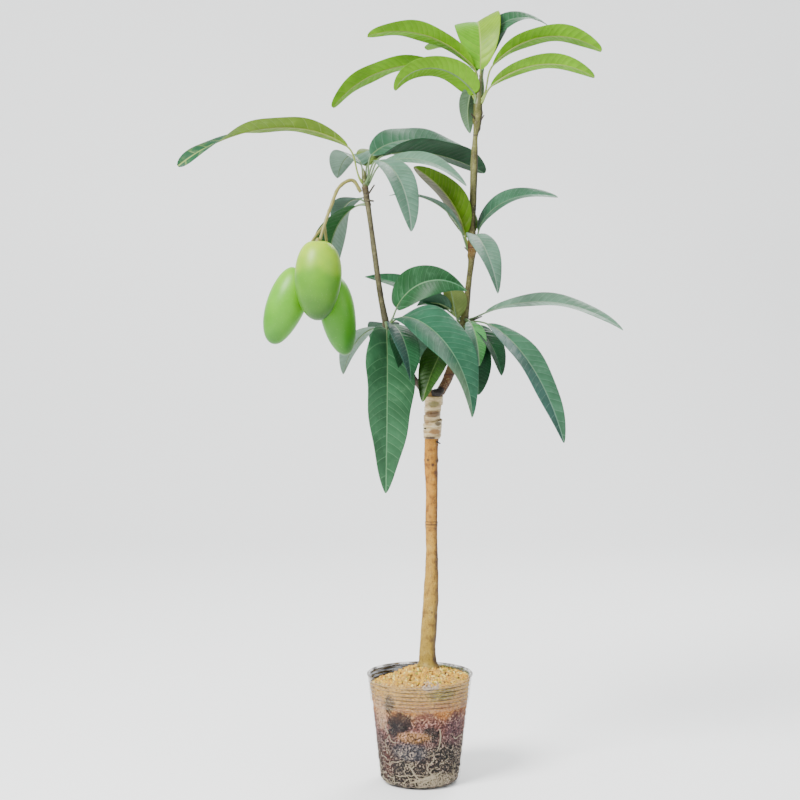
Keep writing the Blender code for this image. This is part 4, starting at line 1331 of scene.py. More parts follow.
def soil_dip(turn, inward):
    """How far the soil lies below the mound's own shape, in metres: it has settled at the back left."""
    apart = np.angle(np.exp(1j * (np.asarray(turn) - DIP_WAY)))
    share = np.clip(1 - np.asarray(inward) / DIP_REACH, 0, 1)
    return DIP_DEPTH * np.exp(-((apart / DIP_SPREAD) ** 2)) * share


def ball_surface(settings):
    """The root ball's fine surface: pressed to the film all round, and a low crumbly mound on top."""
    edge = pot_radius(settings, SOIL_EDGE) - BALL_INSET
    rows = [(BALL_AXIS, BALL_FOOT)]
    foot = settings.foot_radius - FOOT_CORNER
    rows += [(share * foot, BALL_FOOT) for share in np.linspace(0.15, 1, BALL_FOOT_ROWS)]
    rows += [
        (pot_radius(settings, height) - BALL_INSET - corner_inset(height), height)
        for height in np.linspace(FOOT_CORNER, SOIL_EDGE, BALL_WALL_ROWS)
    ]
    inward = np.linspace(1.5, 62, BALL_TOP_ROWS)
    rows += [
        (max(edge - d * MM, BALL_AXIS), SOIL_EDGE + h * MM) for d, h in zip(inward, mound_rise(inward))
    ]
    radius, height = np.array(rows).T
    points = level_rings(radius[:, None], height, BALL_SIDES)
    inner = np.repeat((edge - radius) / MM, BALL_SIDES) * np.repeat(height > SOIL_EDGE, BALL_SIDES)
    sinking = np.repeat(np.clip((height - SOIL_EDGE) / (30 * MM) + 1, 0, 1), BALL_SIDES)
    turn = np.tile(ring_turns(BALL_SIDES), len(rows))
    points[:, 2] -= soil_dip(turn, np.maximum(inner, 0)) * sinking
    lumps = rough(points, LUMP_SIZE, 4, 3) * LUMP_STRETCH
    side = np.repeat(np.clip((height - 0.004) / 0.004, 0, 1) * (height <= SOIL_EDGE), BALL_SIDES)
    top = np.repeat(height > SOIL_EDGE, BALL_SIDES)
    apart = np.maximum(np.hypot(points[:, 0], points[:, 1]), 0.02)
    inwards = 1 - side * (0.5 + 0.5 * np.clip(lumps, -1, 1)) * LUMP_SINK / apart
    points[:, 0] *= inwards
    points[:, 1] *= inwards
    points[:, 2] += top * (lumps - 1.0) * MM
    return points, tube_faces(len(rows), BALL_SIDES)


ROOT_COUNT = 64
ROOT_HEIGHTS = (0.004, 0.12)
ROOT_SIDES = 8
ROOT_STEP, NAMED_ROOT_STEP = 2.6 * MM, 2.4 * MM
ROOT_TAIL = 6  # the points over which a root thins to its end

# Roots that show best: angle round the pot, height and heading, then how each turns, steps and radius.
NAMED_ROOTS = (
    ((295.0, 83.0, 290.0), -3.5, 14, 0.9),
    ((255.0, 10.0, 10.0), 1.5, 16, 1.1),
    ((262.0, 14.0, 350.0), 4.0, 14, 1.0),
    ((268.0, 8.0, 20.0), 1.0, 16, 1.0),
    ((276.0, 16.0, 5.0), 2.5, 14, 0.9),
    ((258.0, 30.0, 280.0), 6.0, 12, 1.0),
    ((254.0, 34.0, 250.0), 40.0, 9, 0.9),
)


def root_path(settings, angle, height, heading, turns, step, inset, limits=(-math.inf, math.inf)):
    """One root's way over the film from an angle, height and heading, with a turn at each step."""
    path = []
    for turn in turns:
        radius = pot_radius(settings, height) - BALL_INSET - inset
        reach = radius - corner_inset(height)
        path.append((reach * math.cos(angle), reach * math.sin(angle), height))
        heading += turn
        angle += step * math.cos(heading) / radius
        height = min(max(height + step * math.sin(heading), limits[0]), limits[1])
    return path


def root_paths(settings):
    """Paths and radii of the roots that press on the film, most of them low down, then the named ones."""
    draw = random.Random(21)
    paths = []
    for _ in range(ROOT_COUNT):
        height = 0.006 + 0.085 * draw.random() ** 2.2
        angle = draw.uniform(0, 2 * math.pi)
        heading = draw.uniform(0, 2 * math.pi)
        size = draw.uniform(0.3, 0.7) * MM
        turns = [draw.gauss(0, 0.5) for _ in range(draw.randint(8, 22))]
        inset = size + 0.3 * MM
        path = root_path(settings, angle, height, heading, turns, ROOT_STEP, inset, ROOT_HEIGHTS)
        paths.append((path, size))
    for (angle, height, heading), turn, steps, size in NAMED_ROOTS:
        angle, heading = math.radians(angle), math.radians(heading)
        turns = [math.radians(turn)] * steps
        inset = size * MM + 0.2 * MM
        path = root_path(settings, angle, height * MM, heading, turns, NAMED_ROOT_STEP, inset)
        paths.append((path, size * MM))
    return paths


# Geometry Nodes.


def geometry_tree(name, sizes):
    """A new tree with a geometry input and these named inputs: socket kind and default."""
    tree = bpy.data.node_groups.new(name, "GeometryNodeTree")
    tree.interface.new_socket("Geometry", in_out="INPUT", socket_type="NodeSocketGeometry")
    for label, (kind, default) in sizes.items():
        tree.interface.new_socket(label, in_out="INPUT", socket_type=kind).default_value = default
    tree.interface.new_socket("Geometry", in_out="OUTPUT", socket_type="NodeSocketGeometry")
    return tree, tree.nodes.new("NodeGroupInput"), tree.nodes.new("NodeGroupOutput")


def grown(name, carrier, tree, values, replaced):
    """A piece of the plain mesh that a tree makes of a carrier object, which is then removed."""
    modifier = carrier.modifiers.new(name, "NODES")
    modifier.node_group = tree
    for item in tree.interface.items_tree:
        if item.in_out == "INPUT" and item.name in values:
            modifier[item.identifier] = values[item.name]
    graph = bpy.context.evaluated_depsgraph_get()
    graph.update()
    mesh = bpy.data.meshes.new_from_object(carrier.evaluated_get(graph))
    carrier.modifiers.clear()
    bpy.data.objects.remove(carrier, do_unlink=True)
    mesh.name = name
    settle(in_scene(name, mesh), replaced)


CRUMB_SHAPE = (1.0, 0.62, 0.42)
CRUMB_SIZES = (0.45, 1.15)  # the smallest and the largest, as shares of the crumb length


def crumb_tree(name, material):
    """Scatters crumbs on a surface: small rough chips, turned and sized at random."""
    tree, entry, end = geometry_tree(name, {
        "Crumbs per square metre": ("NodeSocketFloat", 60000.0),
        "Crumb length": ("NodeSocketFloat", 5 * MM),
        "Seed": ("NodeSocketInt", 1),
    })
    seed = entry.outputs["Seed"]
    spread = add(tree, "GeometryNodeDistributePointsOnFaces", {
        "Mesh": entry.outputs["Geometry"], "Seed": seed,
        "Density": entry.outputs["Crumbs per square metre"],
    })
    chip = add(tree, "GeometryNodeMeshIcoSphere", {"Radius": 0.5, "Subdivisions": 2})
    dent = add(tree, "ShaderNodeTexNoise", {"Scale": 1.6, "Detail": 1.0})
    centred = vector_node(tree, "SUBTRACT", {0: dent.outputs["Color"], 1: (0.5, 0.5, 0.5)})
    offset = vector_node(tree, "SCALE", {0: centred, "Scale": 0.9})
    bent = add(tree, "GeometryNodeSetPosition", {"Geometry": chip.outputs["Mesh"], "Offset": offset})
    flat = add(tree, "GeometryNodeTransform", {"Geometry": bent.outputs[0], "Scale": CRUMB_SHAPE})
    turn = add(tree, "FunctionNodeRandomValue", {"Seed": seed}, data_type="FLOAT_VECTOR")
    turn.inputs["Min"].default_value = (0.0, 0.0, 0.0)
    turn.inputs["Max"].default_value = (2 * math.pi,) * 3
    size = add(tree, "FunctionNodeRandomValue", {"Seed": seed}, data_type="FLOAT")
    for label, limit in zip(("Min", "Max"), CRUMB_SIZES):
        next(s for s in size.inputs if s.name == label and s.enabled).default_value = limit
    size = next(s for s in size.outputs if s.enabled)
    placed = add(tree, "GeometryNodeInstanceOnPoints", {
        "Points": spread.outputs["Points"], "Instance": flat.outputs[0],
        "Rotation": next(s for s in turn.outputs if s.enabled),
        "Scale": math_node(tree, "MULTIPLY", size, entry.outputs["Crumb length"]),
    })
    tree_end(tree, placed.outputs[0], material, end)
    return tree


def sweep_tree(name, material, sides):
    """Sweeps a round section along every line; the line's own thickness sets the section's radius."""
    tree, entry, end = geometry_tree(name, {"Thickness": ("NodeSocketFloat", 1.0)})
    curve = add(tree, "GeometryNodeMeshToCurve", {"Mesh": entry.outputs["Geometry"]})
    ring = add(tree, "GeometryNodeCurvePrimitiveCircle", {
        "Resolution": sides, "Radius": entry.outputs["Thickness"],
    })
    radius = add(tree, "GeometryNodeInputNamedAttribute", {"Name": "thickness"}, data_type="FLOAT")
    body = add(tree, "GeometryNodeCurveToMesh", {
        "Curve": curve.outputs[0], "Profile Curve": ring.outputs["Curve"], "Scale": radius.outputs[0],
        "Fill Caps": True,
    })
    smooth = add(tree, "GeometryNodeSetShadeSmooth", {"Geometry": body.outputs[0]})
    tree_end(tree, smooth.outputs[0], material, end)
    return tree


def winding_object(name, paths):
    """A mesh of open lines with a thickness at each point, for a sweep to follow."""
    points, edges, thickness = [], [], []
    for path, radii in paths:
        first = len(points)
        points += [tuple(p) for p in path]
        edges += [(first + i, first + i + 1) for i in range(len(path) - 1)]
        thickness += list(np.broadcast_to(radii, len(path)))
    mesh = bpy.data.meshes.new(name)
    mesh.from_pydata(points, edges, [])
    mesh.attributes.new("thickness", "FLOAT", "POINT").data.foreach_set("value", thickness)
    return in_scene(name, mesh)


def tapering(path, radius):
    """Radii along a root: full, then thin over its last few points."""
    left = np.arange(len(path), 0, -1)
    return radius * (0.3 + 0.7 * np.minimum(1.0, left / ROOT_TAIL))


def tree_end(tree, geometry, material, end):
    """Ends a geometry tree: real geometry that wears this material."""
    real = add(tree, "GeometryNodeRealizeInstances", {"Geometry": geometry})
    dressed = add(tree, "GeometryNodeSetMaterial", {"Geometry": real.outputs[0], "Material": material})
    tree.links.new(dressed.outputs[0], end.inputs[0])


# Pot, soil and roots.


FILM_POLE = 0.5 * MM
POT_UNEVEN = 0.12 * MM


def make_pot(settings):
    """The clear cup: one thin film with pressed ribs, and its rolled rim."""
    film, rim = film_material(), rim_material()
    outer = wall_profile(settings, 0.0)
    inner = wall_profile(settings, settings.film_thickness)
    profile = np.array([(FILM_POLE, 0.0), *outer, *reversed(inner), (FILM_POLE, settings.film_thickness)])
    height = profile[:, 1:]
    turn = ring_turns(POT_SIDES)
    sway = POT_UNEVEN * np.sin(3 * turn + 0.8)[None] + 0.5 * POT_UNEVEN * np.sin(7 * turn)[None]
    grip = np.clip(height / 0.05, 0, 1) * np.clip((settings.height - height) / 0.03, 0, 1)
    radius = profile[:, :1] - (sway + 1.5 * POT_UNEVEN) * grip
    points = level_rings(radius, profile[:, 1], POT_SIDES)
    mesh_piece("pot_wall", points, tube_faces(len(profile), POT_SIDES), (film,), "pot_film", ("pot",))
    mesh_piece("pot_rim", *rolled_lip(settings), (rim,), "pot_film", ("pot",))


# Crumbs by colour: two tones, how many on a square metre, their length in millimetres, and a seed.
CRUMB_KINDS = (
    ("amber", "#E6BE3C", "#C08C1E", 30000.0, 6.0, 3),
    ("tan", "#D4A440", "#9C6A20", 22000.0, 6.4, 8),
    ("pale", "#EEE08C", "#D2BC58", 16000.0, 5.4, 14),
    ("dark", "#6A4218", "#3C260C", 9000.0, 5.5, 5),
    ("olive", "#A3A03A", "#6F6E24", 10000.0, 5.2, 9),
)
CRUMB_BED_SIDES = 48
CRUMB_BED_ROWS = 16
CRUMB_BED_DEPTH = 1.2
CRUMB_BED_INWARD = (4.0, 64.0)  # how far in from the soil's edge the bed starts and ends


def crumb_bed(settings):
    """The top of the root ball as a plain carrier for crumbs, clear of the trunk's foot."""
    edge = pot_radius(settings, SOIL_EDGE) - BALL_INSET
    inward = np.linspace(*CRUMB_BED_INWARD, CRUMB_BED_ROWS)
    points = []
    for d, h in zip(inward, mound_rise(inward)):
        radius, height = edge - d * MM, SOIL_EDGE + (h - CRUMB_BED_DEPTH) * MM
        points += [
            (radius * math.cos(t), radius * math.sin(t), height - soil_dip(t, d))
            for t in ring_turns(CRUMB_BED_SIDES)
        ]
    mesh = bpy.data.meshes.new("crumb bed")
    mesh.from_pydata(points, [], sides_between(len(inward), CRUMB_BED_SIDES))
    return in_scene("crumb bed", mesh)


def make_root_ball(settings):
    """The root ball as it shows through the film, with loose crumbs on top and roots on its side."""
    points, faces = ball_surface(settings)
    mesh_piece("compost", points, faces, (root_ball_material(),), "soil", ("root_ball",))
    for name, tone, deep, count, length, seed in CRUMB_KINDS:
        material = crumb_material(f"{name} coir crumb", tone, deep)
        tree = crumb_tree(f"{name} crumbs", material)
        values = {
            "Crumbs per square metre": count * settings.crumb_share,
            "Crumb length": length * MM, "Seed": seed,
        }
        grown(f"crumbs_{name}", crumb_bed(settings), tree, values, ("root_ball",))
    tree = sweep_tree("feeder roots", root_material(), ROOT_SIDES)
    lines = winding_object("feeder roots", [
        (path, tapering(path, size)) for path, size in root_paths(settings)
    ])
    grown("feeder_roots", lines, tree, {"Thickness": 1.0}, ("root_ball",))


# Bark.


def make_bark():
    """Trunk and both shoots with the relief of their bark, and the cut stubs that stand on them."""
    trunk = bark_material(
        "corky mango trunk bark", TRUNK, TRUNK_COLOURS, "#583F22", TRUNK_KNOTS, TRUNK_RINGS)
    leader = bark_material("leader bark", LEADER, LEADER_COLOURS, "#837B56", (), LEADER_RINGS)
    side = bark_material("side shoot bark", SIDE_SHOOT, SIDE_COLOURS, "#675F44", (), SIDE_RINGS)
    for name, material, slot in (
        ("trunk", trunk, "old_bark"), ("leader", leader, "young_bark"), ("side_shoot", side, "young_bark"),
    ):
        points, faces = limb_mesh(name)
        mesh_piece(f"{name}_bark", points, faces, (material,), slot, (name,))
    parts = [
        (np.linspace(stub.foot, stub.end, STUB_ROWS), np.linspace(stub.thick, stub.thin, STUB_ROWS))
        for stub in STUBS
    ]
    mesh_piece("leaf_stubs", *rods(parts, STUB_SIDES), (side,), "young_bark", ("leader",))
    make_dead_stub()


def make_dead_stub():
    """The black stub of the stock, cut off over the graft, between the two shoots."""
    rows = len(DEAD_STUB_SWELL)
    path = smooth_through((0, 1, 2), DEAD_STUB, np.linspace(0, 2, rows))
    points = rod_points(path, DEAD_STUB_RADIUS * np.array(DEAD_STUB_SWELL), DEAD_STUB_SIDES)
    middle = np.repeat(path, DEAD_STUB_SIDES, axis=0)
    lumps = rough(points, DEAD_STUB_LUMP, 12)[:, None]
    points = (middle + (points - middle) * (1 + DEAD_STUB_ROUGHNESS * lumps)) * MM
    faces = tube_faces(rows, DEAD_STUB_SIDES)
    mesh_piece("dead_stub", points, faces, (charred_material(),), "old_bark", ("trunk",))


# Grafting tape.


TAPE_LOW, TAPE_HIGH = 462.8, 519.0
TAPE_TURNS = 6
TAPE_STEPS = 64
TAPE_CLEAR = 0.8
TAPE_LAP = 0.5  # how far out the second of two turns at one height lies
TAPE_AXIS = 16.5  # the x about which its creases stand out
TAPE_SECTION = 36


def tape_tree(name, material):
    """Sweeps a flat film along a winding path, upright and leaning a little, and crinkles it."""
    tree, entry, end = geometry_tree(name, {
        "Film width": ("NodeSocketFloat", 11 * MM),
        "Film thickness": ("NodeSocketFloat", 0.3 * MM),
        "Lean": ("NodeSocketFloat", 0.05),
        "Crinkle": ("NodeSocketFloat", 0.5 * MM),
        "Crinkle size": ("NodeSocketFloat", 4 * MM),
    })
    curve = add(tree, "GeometryNodeMeshToCurve", {"Mesh": entry.outputs["Geometry"]})
    upright = add(tree, "GeometryNodeSetCurveNormal", {"Curve": curve.outputs[0]}, mode="Z_UP")
    leaning = add(tree, "GeometryNodeSetCurveTilt", {
        "Curve": upright.outputs[0], "Tilt": entry.outputs["Lean"],
    })
    section = add(tree, "GeometryNodeCurvePrimitiveQuadrilateral", {
        "Width": entry.outputs["Film thickness"], "Height": entry.outputs["Film width"],
    })
    fine = add(tree, "GeometryNodeResampleCurve", {"Curve": section.outputs[0], "Count": TAPE_SECTION})
    body = add(tree, "GeometryNodeCurveToMesh", {
        "Curve": leaning.outputs[0], "Profile Curve": fine.outputs[0], "Fill Caps": True,
    })
    scale = math_node(tree, "DIVIDE", 1.0, entry.outputs["Crinkle size"])
    folds = add(tree, "ShaderNodeTexNoise", {"Scale": scale, "Detail": 2.0}).outputs[0]
    depth = math_node(tree, "MULTIPLY", math_node(tree, "SUBTRACT", folds, 0.5), entry.outputs["Crinkle"])
    place = add(tree, "GeometryNodeInputPosition").outputs[0]
    level = vector_node(tree, "MULTIPLY", {0: place, 1: (1.0, 1.0, 0.0)})
    outward = vector_node(tree, "SUBTRACT", {0: level, 1: (TAPE_AXIS * MM, 0.0, 0.0)})
    outward = vector_node(tree, "NORMALIZE", {0: outward})
    offset = vector_node(tree, "SCALE", {0: outward, "Scale": depth})
    crinkled = add(tree, "GeometryNodeSetPosition", {"Geometry": body.outputs[0], "Offset": offset})
    smooth = add(tree, "GeometryNodeSetShadeSmooth", {"Geometry": crinkled.outputs[0]})
    tree_end(tree, smooth.outputs[0], material, end)
    return tree


def make_tape(settings):
    """The film round the graft, wound upwards so that each turn laps the one below."""
    turns = np.linspace(0, TAPE_TURNS, TAPE_TURNS * TAPE_STEPS + 1)
    half = settings.film_width / MM / 2
    low, high = TAPE_LOW + half, TAPE_HIGH - half
    heights = low + (high - low) * np.clip((turns - 1) / (TAPE_TURNS - 2), 0, 1)
    x, y, radius = limb_at(TRUNK, heights).T
    angle = 2 * math.pi * turns - math.pi / 2
    reach = radius + TAPE_CLEAR + TAPE_LAP * (np.clip(turns, 0, 1) + np.clip(turns - TAPE_TURNS + 1, 0, 1))
    path = np.column_stack([x + reach * np.cos(angle), y + reach * np.sin(angle), heights]) * MM
    tree = tape_tree("wound film", tape_material())
    values = {
        "Film width": settings.film_width, "Film thickness": settings.film_thickness,
        "Lean": settings.lean, "Crinkle": settings.crinkle,
    }
    line = winding_object("wound film", [(path, 1.0)])
    grown("wound_film", line, tree, values, ("graft_tape",))


# Leaves.


TIP_STEM_ROWS = 26
TIP_STEM_SIDES = 20
BUD_ROWS = 8


def tip_stem(whorl):
    """The soft stem past a limb's end, with the bud that closes it."""
    stem = TIP_STEMS[whorl.node]
    limb = LIMBS[whorl.limb]
    low = limb[-1].height - 3
    heights = np.linspace(low, stem.top, TIP_STEM_ROWS)
    share = (heights - low) / (stem.top - low)
    knuckle = 1 + 0.08 * np.sin(share * 19)
    radii = (stem.thick + (stem.thin - stem.thick) * share**0.8) * knuckle
    path = np.array([[*tip_axis(limb, h), h] for h in heights])
    ahead = path[-1] - path[-2]
    ahead /= np.linalg.norm(ahead)
    steps = np.linspace(0, 1, BUD_ROWS + 1)[1:]
    bud = path[-1] + np.outer(steps * stem.bud, ahead)
    swell = stem.thin * (1 + 0.5 * np.sin(math.pi * steps**0.6)) * np.sqrt(1 - steps * 0.98)
    return np.concatenate([path, bud]), np.concatenate([radii, swell])


def make_leaves(settings):
    """Every mass of leaves: blades, the stalks that bear them, and the soft stems at both tips."""
    blade_materials = (
        blade_material("mango leaf, upper face", True),
        blade_material("mango leaf, lower face", False),
    )
    stalk_materials = (
        stalk_material("young leaf stalk", "#7F903A", "#617427"),
        stalk_material("mature leaf stalk", "#687F52", "#445F38"),
    )
    for index, whorl in enumerate(WHORLS):
        blade_piece(whorl, index, blade_materials, settings)
        rib_piece(whorl, stalk_materials)
    stem = stalk_material("soft olive stem", "#5B5F2F", "#3C3F1F")
    for whorl in WHORLS:
        if whorl.node in TIP_STEMS:
            name = whorl.node.replace("leaves", "stem")
            points, faces = rods([tip_stem(whorl)], TIP_STEM_SIDES)
            mesh_piece(name, points, faces, (stem,), whorl_slot(whorl), (whorl.node,))


# Fruit.


class Mango(NamedTuple):
    """A mango: its middle, how it leans, its size, and its colours from stalk to tip, which run from
    light to dark: partly its own colour, partly painted light on its top and painted shade below.
    """

    x: float
    y: float
    z: float
    lean: float
    length: float
    width: float
    depth: float
    crown: str
    flank: str
    tip: str


MANGOES = (
    Mango(-132.0, -75.0, 673.0, 0.0, 104.0, 60.0, 56.0, "#9CBC14", "#50880D", "#1F4D0D"),
    Mango(-176.0, -38.0, 640.0, -20.0, 106.0, 51.0, 50.0, "#6CAA16", "#569A13", "#33700E"),
    Mango(-108.0, -34.0, 628.0, 12.0, 108.0, 46.0, 46.0, "#5DA216", "#498F13", "#28680D"),
)
STALK = (
    (-77.8, -29.5, 788.0), (-89.0, -33.0, 803.0), (-106.0, -42.0, 793.0), (-116.0, -54.0, 768.0),
    (-123.0, -64.0, 747.0), (-130.0, -73.0, 722.0),
)
SPUR_FROM = (-124.0, -65.0, 744.0)
SPUR_ARCH = 6.0
STALK_THICK, SPUR_THICK = 2.3, 1.9
FRUIT_STALK_ROWS, SPUR_ROWS = 60, 30
FRUIT_STALK_SIDES = 16
SEAT_RADII = (1.6, 1.9, 2.4, 3.0, 3.5, 3.7, 3.6, 3.2, 2.4)
MANGO_SIDES = 96
MANGO_RINGS = 84
MANGO_BLUNTNESS = 0.9
MANGO_SHOULDER = 0.12
DIMPLE_DEPTH = 3.0
DIMPLE_REACH = 0.22
BEAK = 0.035
SKIN_BLOTCH, SKIN_WANDER = 26.0, 0.12


def mango_axes(mango):
    """A mango's middle, the way from its stalk to its tip, and the way across it."""
    tilt = math.radians(mango.lean)
    down = np.array([math.sin(tilt), 0.0, -math.cos(tilt)])
    across = np.array([math.cos(tilt), 0.0, math.sin(tilt)])
    return np.array([mango.x, mango.y, mango.z]), down, across


def mango_surface(mango):
    """Rings of a mango from stalk to tip, with its stalk dimple and off-centre beak, and their share."""
    middle, down, across = mango_axes(mango)
    turn = np.linspace(0.012, math.pi - 0.012, MANGO_RINGS)[:, None]
    round_turn = ring_turns(MANGO_SIDES)[None]
    swell = np.sin(turn) ** MANGO_BLUNTNESS * (1 + MANGO_SHOULDER * np.cos(turn))
    along = -np.cos(turn) * mango.length / 2
    along = along + DIMPLE_DEPTH * np.exp(-((turn / DIMPLE_REACH) ** 2))
    lean = BEAK * mango.width * np.sin(turn) ** 2 * np.cos(turn)
    x = np.cos(round_turn) * mango.width / 2 * swell + lean
    y = -np.sin(round_turn) * mango.depth / 2 * swell
    points = middle + along[..., None] * down + x[..., None] * across + y[..., None] * (0.0, 1.0, 0.0)
    share = np.repeat((1 - np.cos(turn)) / 2, MANGO_SIDES, 1)
    return points.reshape(-1, 3), share.ravel()


def make_fruit():
    """Three unripe mangoes on one arching stalk."""
    points, faces, colours, count = [], [], [], 0
    for mango in MANGOES:
        ring, share = mango_surface(mango)
        wander = rough(ring, SKIN_BLOTCH, 3, 2)
        place = np.clip(share + SKIN_WANDER * wander, 0, 1)[:, None]
        # The skin runs from a light crown to a dark tip: partly the fruit's own colour, partly painted
        # light on its top and painted shade on its underside.
        crown, flank, tip = (np.array(linear(c)) for c in (mango.crown, mango.flank, mango.tip))
        upper = crown + (flank - crown) * np.clip(place / 0.5, 0, 1)
        colours.append(upper + (tip - upper) * np.clip((place - 0.5) / 0.5, 0, 1))
        points.append(ring)
        faces += tube_faces(MANGO_RINGS, MANGO_SIDES, count)
        count += len(ring)
    points = np.concatenate(points) * MM
    obj = mesh_piece("mangoes", points, faces, (skin_material(),), "fruit_skin", ("fruit_cluster",))
    layer = obj.data.color_attributes.new("skin_colour", "FLOAT_COLOR", "POINT")
    values = np.column_stack([np.concatenate(colours), np.ones(len(points))])
    layer.data.foreach_set("color", values.astype(np.float32).ravel())
    make_fruit_stalks()


def make_fruit_stalks():
    """The arching stalk, the spurs of the two mangoes that hang beside its end, and three seats."""
    rows = FRUIT_STALK_ROWS
    stem = smooth_through(range(len(STALK)), STALK, np.linspace(0, len(STALK) - 1, rows))
    knuckles = 1 + 0.12 * np.sin(np.linspace(0, 31, rows)) ** 4
    parts = [(stem, STALK_THICK * knuckles * np.linspace(1.05, 0.85, rows))]
    for number, mango in enumerate(MANGOES):
        middle, down, _ = mango_axes(mango)
        crown = middle - down * (mango.length / 2 - DIMPLE_DEPTH)
        if number:
            knee = (np.array(SPUR_FROM) + crown) / 2 + (0, 0, SPUR_ARCH)
            path = smooth_through((0, 1, 2), (SPUR_FROM, knee, crown), np.linspace(0, 2, SPUR_ROWS))
            parts.append((path, np.linspace(SPUR_THICK, SPUR_THICK * 0.9, SPUR_ROWS)))
        seat = np.linspace(crown - down * 5, crown + down * 1.5, len(SEAT_RADII))
        parts.append((seat, SEAT_RADII))
    stalk = stalk_material("yellow-olive fruit stalk", "#8E8749", "#67642F")
    points, faces = rods(parts, FRUIT_STALK_SIDES)
    mesh_piece("fruit_stalks", points, faces, (stalk,), "fruit_skin", ("fruit_cluster",))


# Stage.


EYE = (-0.0267, -2.30, 0.655)
AIM = (-0.0267, 0.0, 0.514)
LENS = 77.8
LIT_MIDDLE = (0.0, 0.0, 0.55)
FLOOR_DROP = 0.5 * MM
FLOOR_SIDE, FLOOR_FRONT, FLOOR_BACK = 6.0, -4.0, 2.2
BACKDROP_BEND, BACKDROP_TALL = 0.9, 3.2

# Each light's place, the width of its disk and its power.
STUDIO_LIGHTS = (
    ("key", (-1.6, -1.7, 2.4), 1.3, 205.0),
    ("fill", (2.0, -1.6, 1.2), 1.6, 12.0),
    ("back", (0.8, 1.6, 2.3), 1.2, 60.0),
)


def look_rotation(place, aim):
    """The rotation of a lamp or camera at this place that looks at its aim."""
    return (Vector(aim) - Vector(place)).to_track_quat("-Z", "Y").to_euler()


def make_stage(settings):
    """A pale floor that curves up into a backdrop, soft lights, and the camera of the photograph."""
    outline = [(FLOOR_FRONT, -FLOOR_DROP)]
    for turn in np.linspace(0, math.pi / 2, 24):
        rise = BACKDROP_BEND * (1 - math.cos(turn)) - FLOOR_DROP
        outline.append((FLOOR_BACK + BACKDROP_BEND * math.sin(turn), rise))
    outline.append((FLOOR_BACK + BACKDROP_BEND, BACKDROP_TALL))
    points = [(side * FLOOR_SIDE, y, z) for y, z in outline for side in (-1, 1)]
    faces = [(2 * i, 2 * i + 1, 2 * i + 3, 2 * i + 2) for i in range(len(outline) - 1)]
    mesh = bpy.data.meshes.new("studio floor")
    mesh.from_pydata(points, [], faces)
    mesh.materials.append(floor_material())
    mesh.shade_smooth()
    in_scene("studio_floor", mesh)
    for name, place, size, power in STUDIO_LIGHTS:
        light = bpy.data.lights.new(name, "AREA")
        light.shape = "DISK"
        light.size = size
        light.energy = power * settings.brightness
        lamp = in_scene(name, light)
        lamp.location = place
        lamp.rotation_euler = look_rotation(place, LIT_MIDDLE)
    world = bpy.data.worlds.new("soft studio")
    world.use_nodes = True
    sky = world.node_tree.nodes["Background"].inputs
    sky["Color"].default_value = colour("#E9EDF0")
    sky["Strength"].default_value = settings.sky
    bpy.context.scene.world = world
    camera = in_scene("camera", bpy.data.cameras.new("camera"))
    camera.data.lens = settings.lens
    camera.location = EYE
    camera.rotation_euler = look_rotation(EYE, AIM)
    bpy.context.scene.camera = camera


# The add-on.


class MangoPotSizes(PropertyGroup):
    """Sizes of the film pot and of what fills it."""

    height: FloatProperty(
        name="Pot height", description="From the floor to the top of the rim",
        default=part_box("pot")[1][2], min=0.05, unit="LENGTH",
    )
    foot_radius: FloatProperty(
        name="Foot radius", description="Outer radius of the pot at its foot, before the corner is rounded",
        default=54 * MM, min=0.02, unit="LENGTH",
    )
    rim_radius: FloatProperty(
        name="Rim radius", description="Outer radius of the pot at its rim",
        default=70 * MM, min=0.02, unit="LENGTH",
    )
    rib_height: FloatProperty(
        name="Rib height", description="How far the pressed ribs stand out",
        default=0.9 * MM, unit="LENGTH",
    )
    film_thickness: FloatProperty(
        name="Film thickness", description="Thickness of the clear wall",
        default=0.3 * MM, unit="LENGTH",
    )
    crumb_share: FloatProperty(
        name="Crumbs", description="Share of the full number of loose crumbs on the soil",
        default=1.0, min=0.0, max=1.0, subtype="FACTOR",
    )


class MangoTapeSizes(PropertyGroup):
    """Sizes of the grafting film."""

    film_width: FloatProperty(
        name="Film width", description="Width of the wound film",
        default=11.5 * MM, min=0.002, unit="LENGTH",
    )
    film_thickness: FloatProperty(
        name="Film thickness", description="Thickness of the film where it overlaps",
        default=0.4 * MM, unit="LENGTH",
    )
    lean: FloatProperty(
        name="Lean", description="How far each turn leans out over the one below",
        default=0.07, unit="ROTATION",
    )
    crinkle: FloatProperty(
        name="Crinkle", description="Depth of the creases in the stretched film",
        default=0.9 * MM, unit="LENGTH",
    )


class MangoLeafSizes(PropertyGroup):
    """Relief of the leaf blades."""

    vein_pairs: IntProperty(
        name="Vein pairs", description="Pairs of side veins on each blade", default=15, min=3,
    )
    quilting: FloatProperty(
        name="Quilting", description="How far the blade bulges between its side veins",
        default=0.3 * MM, unit="LENGTH",
    )
    margin_wave: FloatProperty(
        name="Margin wave", description="How far the leaf margins wave up and down",
        default=2.2 * MM, unit="LENGTH",
    )


class MangoStudio(PropertyGroup):
    """Light and camera."""

    brightness: FloatProperty(
        name="Brightness", description="Scales all three studio lights", default=1.0, min=0.0,
    )
    sky: FloatProperty(
        name="Sky", description="Strength of the even light all round", default=1.2, min=0.0,
    )
    lens: FloatProperty(
        name="Lens", description="Focal length of the camera", default=LENS, min=10.0, unit="CAMERA",
    )


class MangoTree(PropertyGroup):
    """Everything a user may change on the mango tree."""

    pot: PointerProperty(type=MangoPotSizes)
    tape: PointerProperty(type=MangoTapeSizes)
    leaf: PointerProperty(type=MangoLeafSizes)
    studio: PointerProperty(type=MangoStudio)


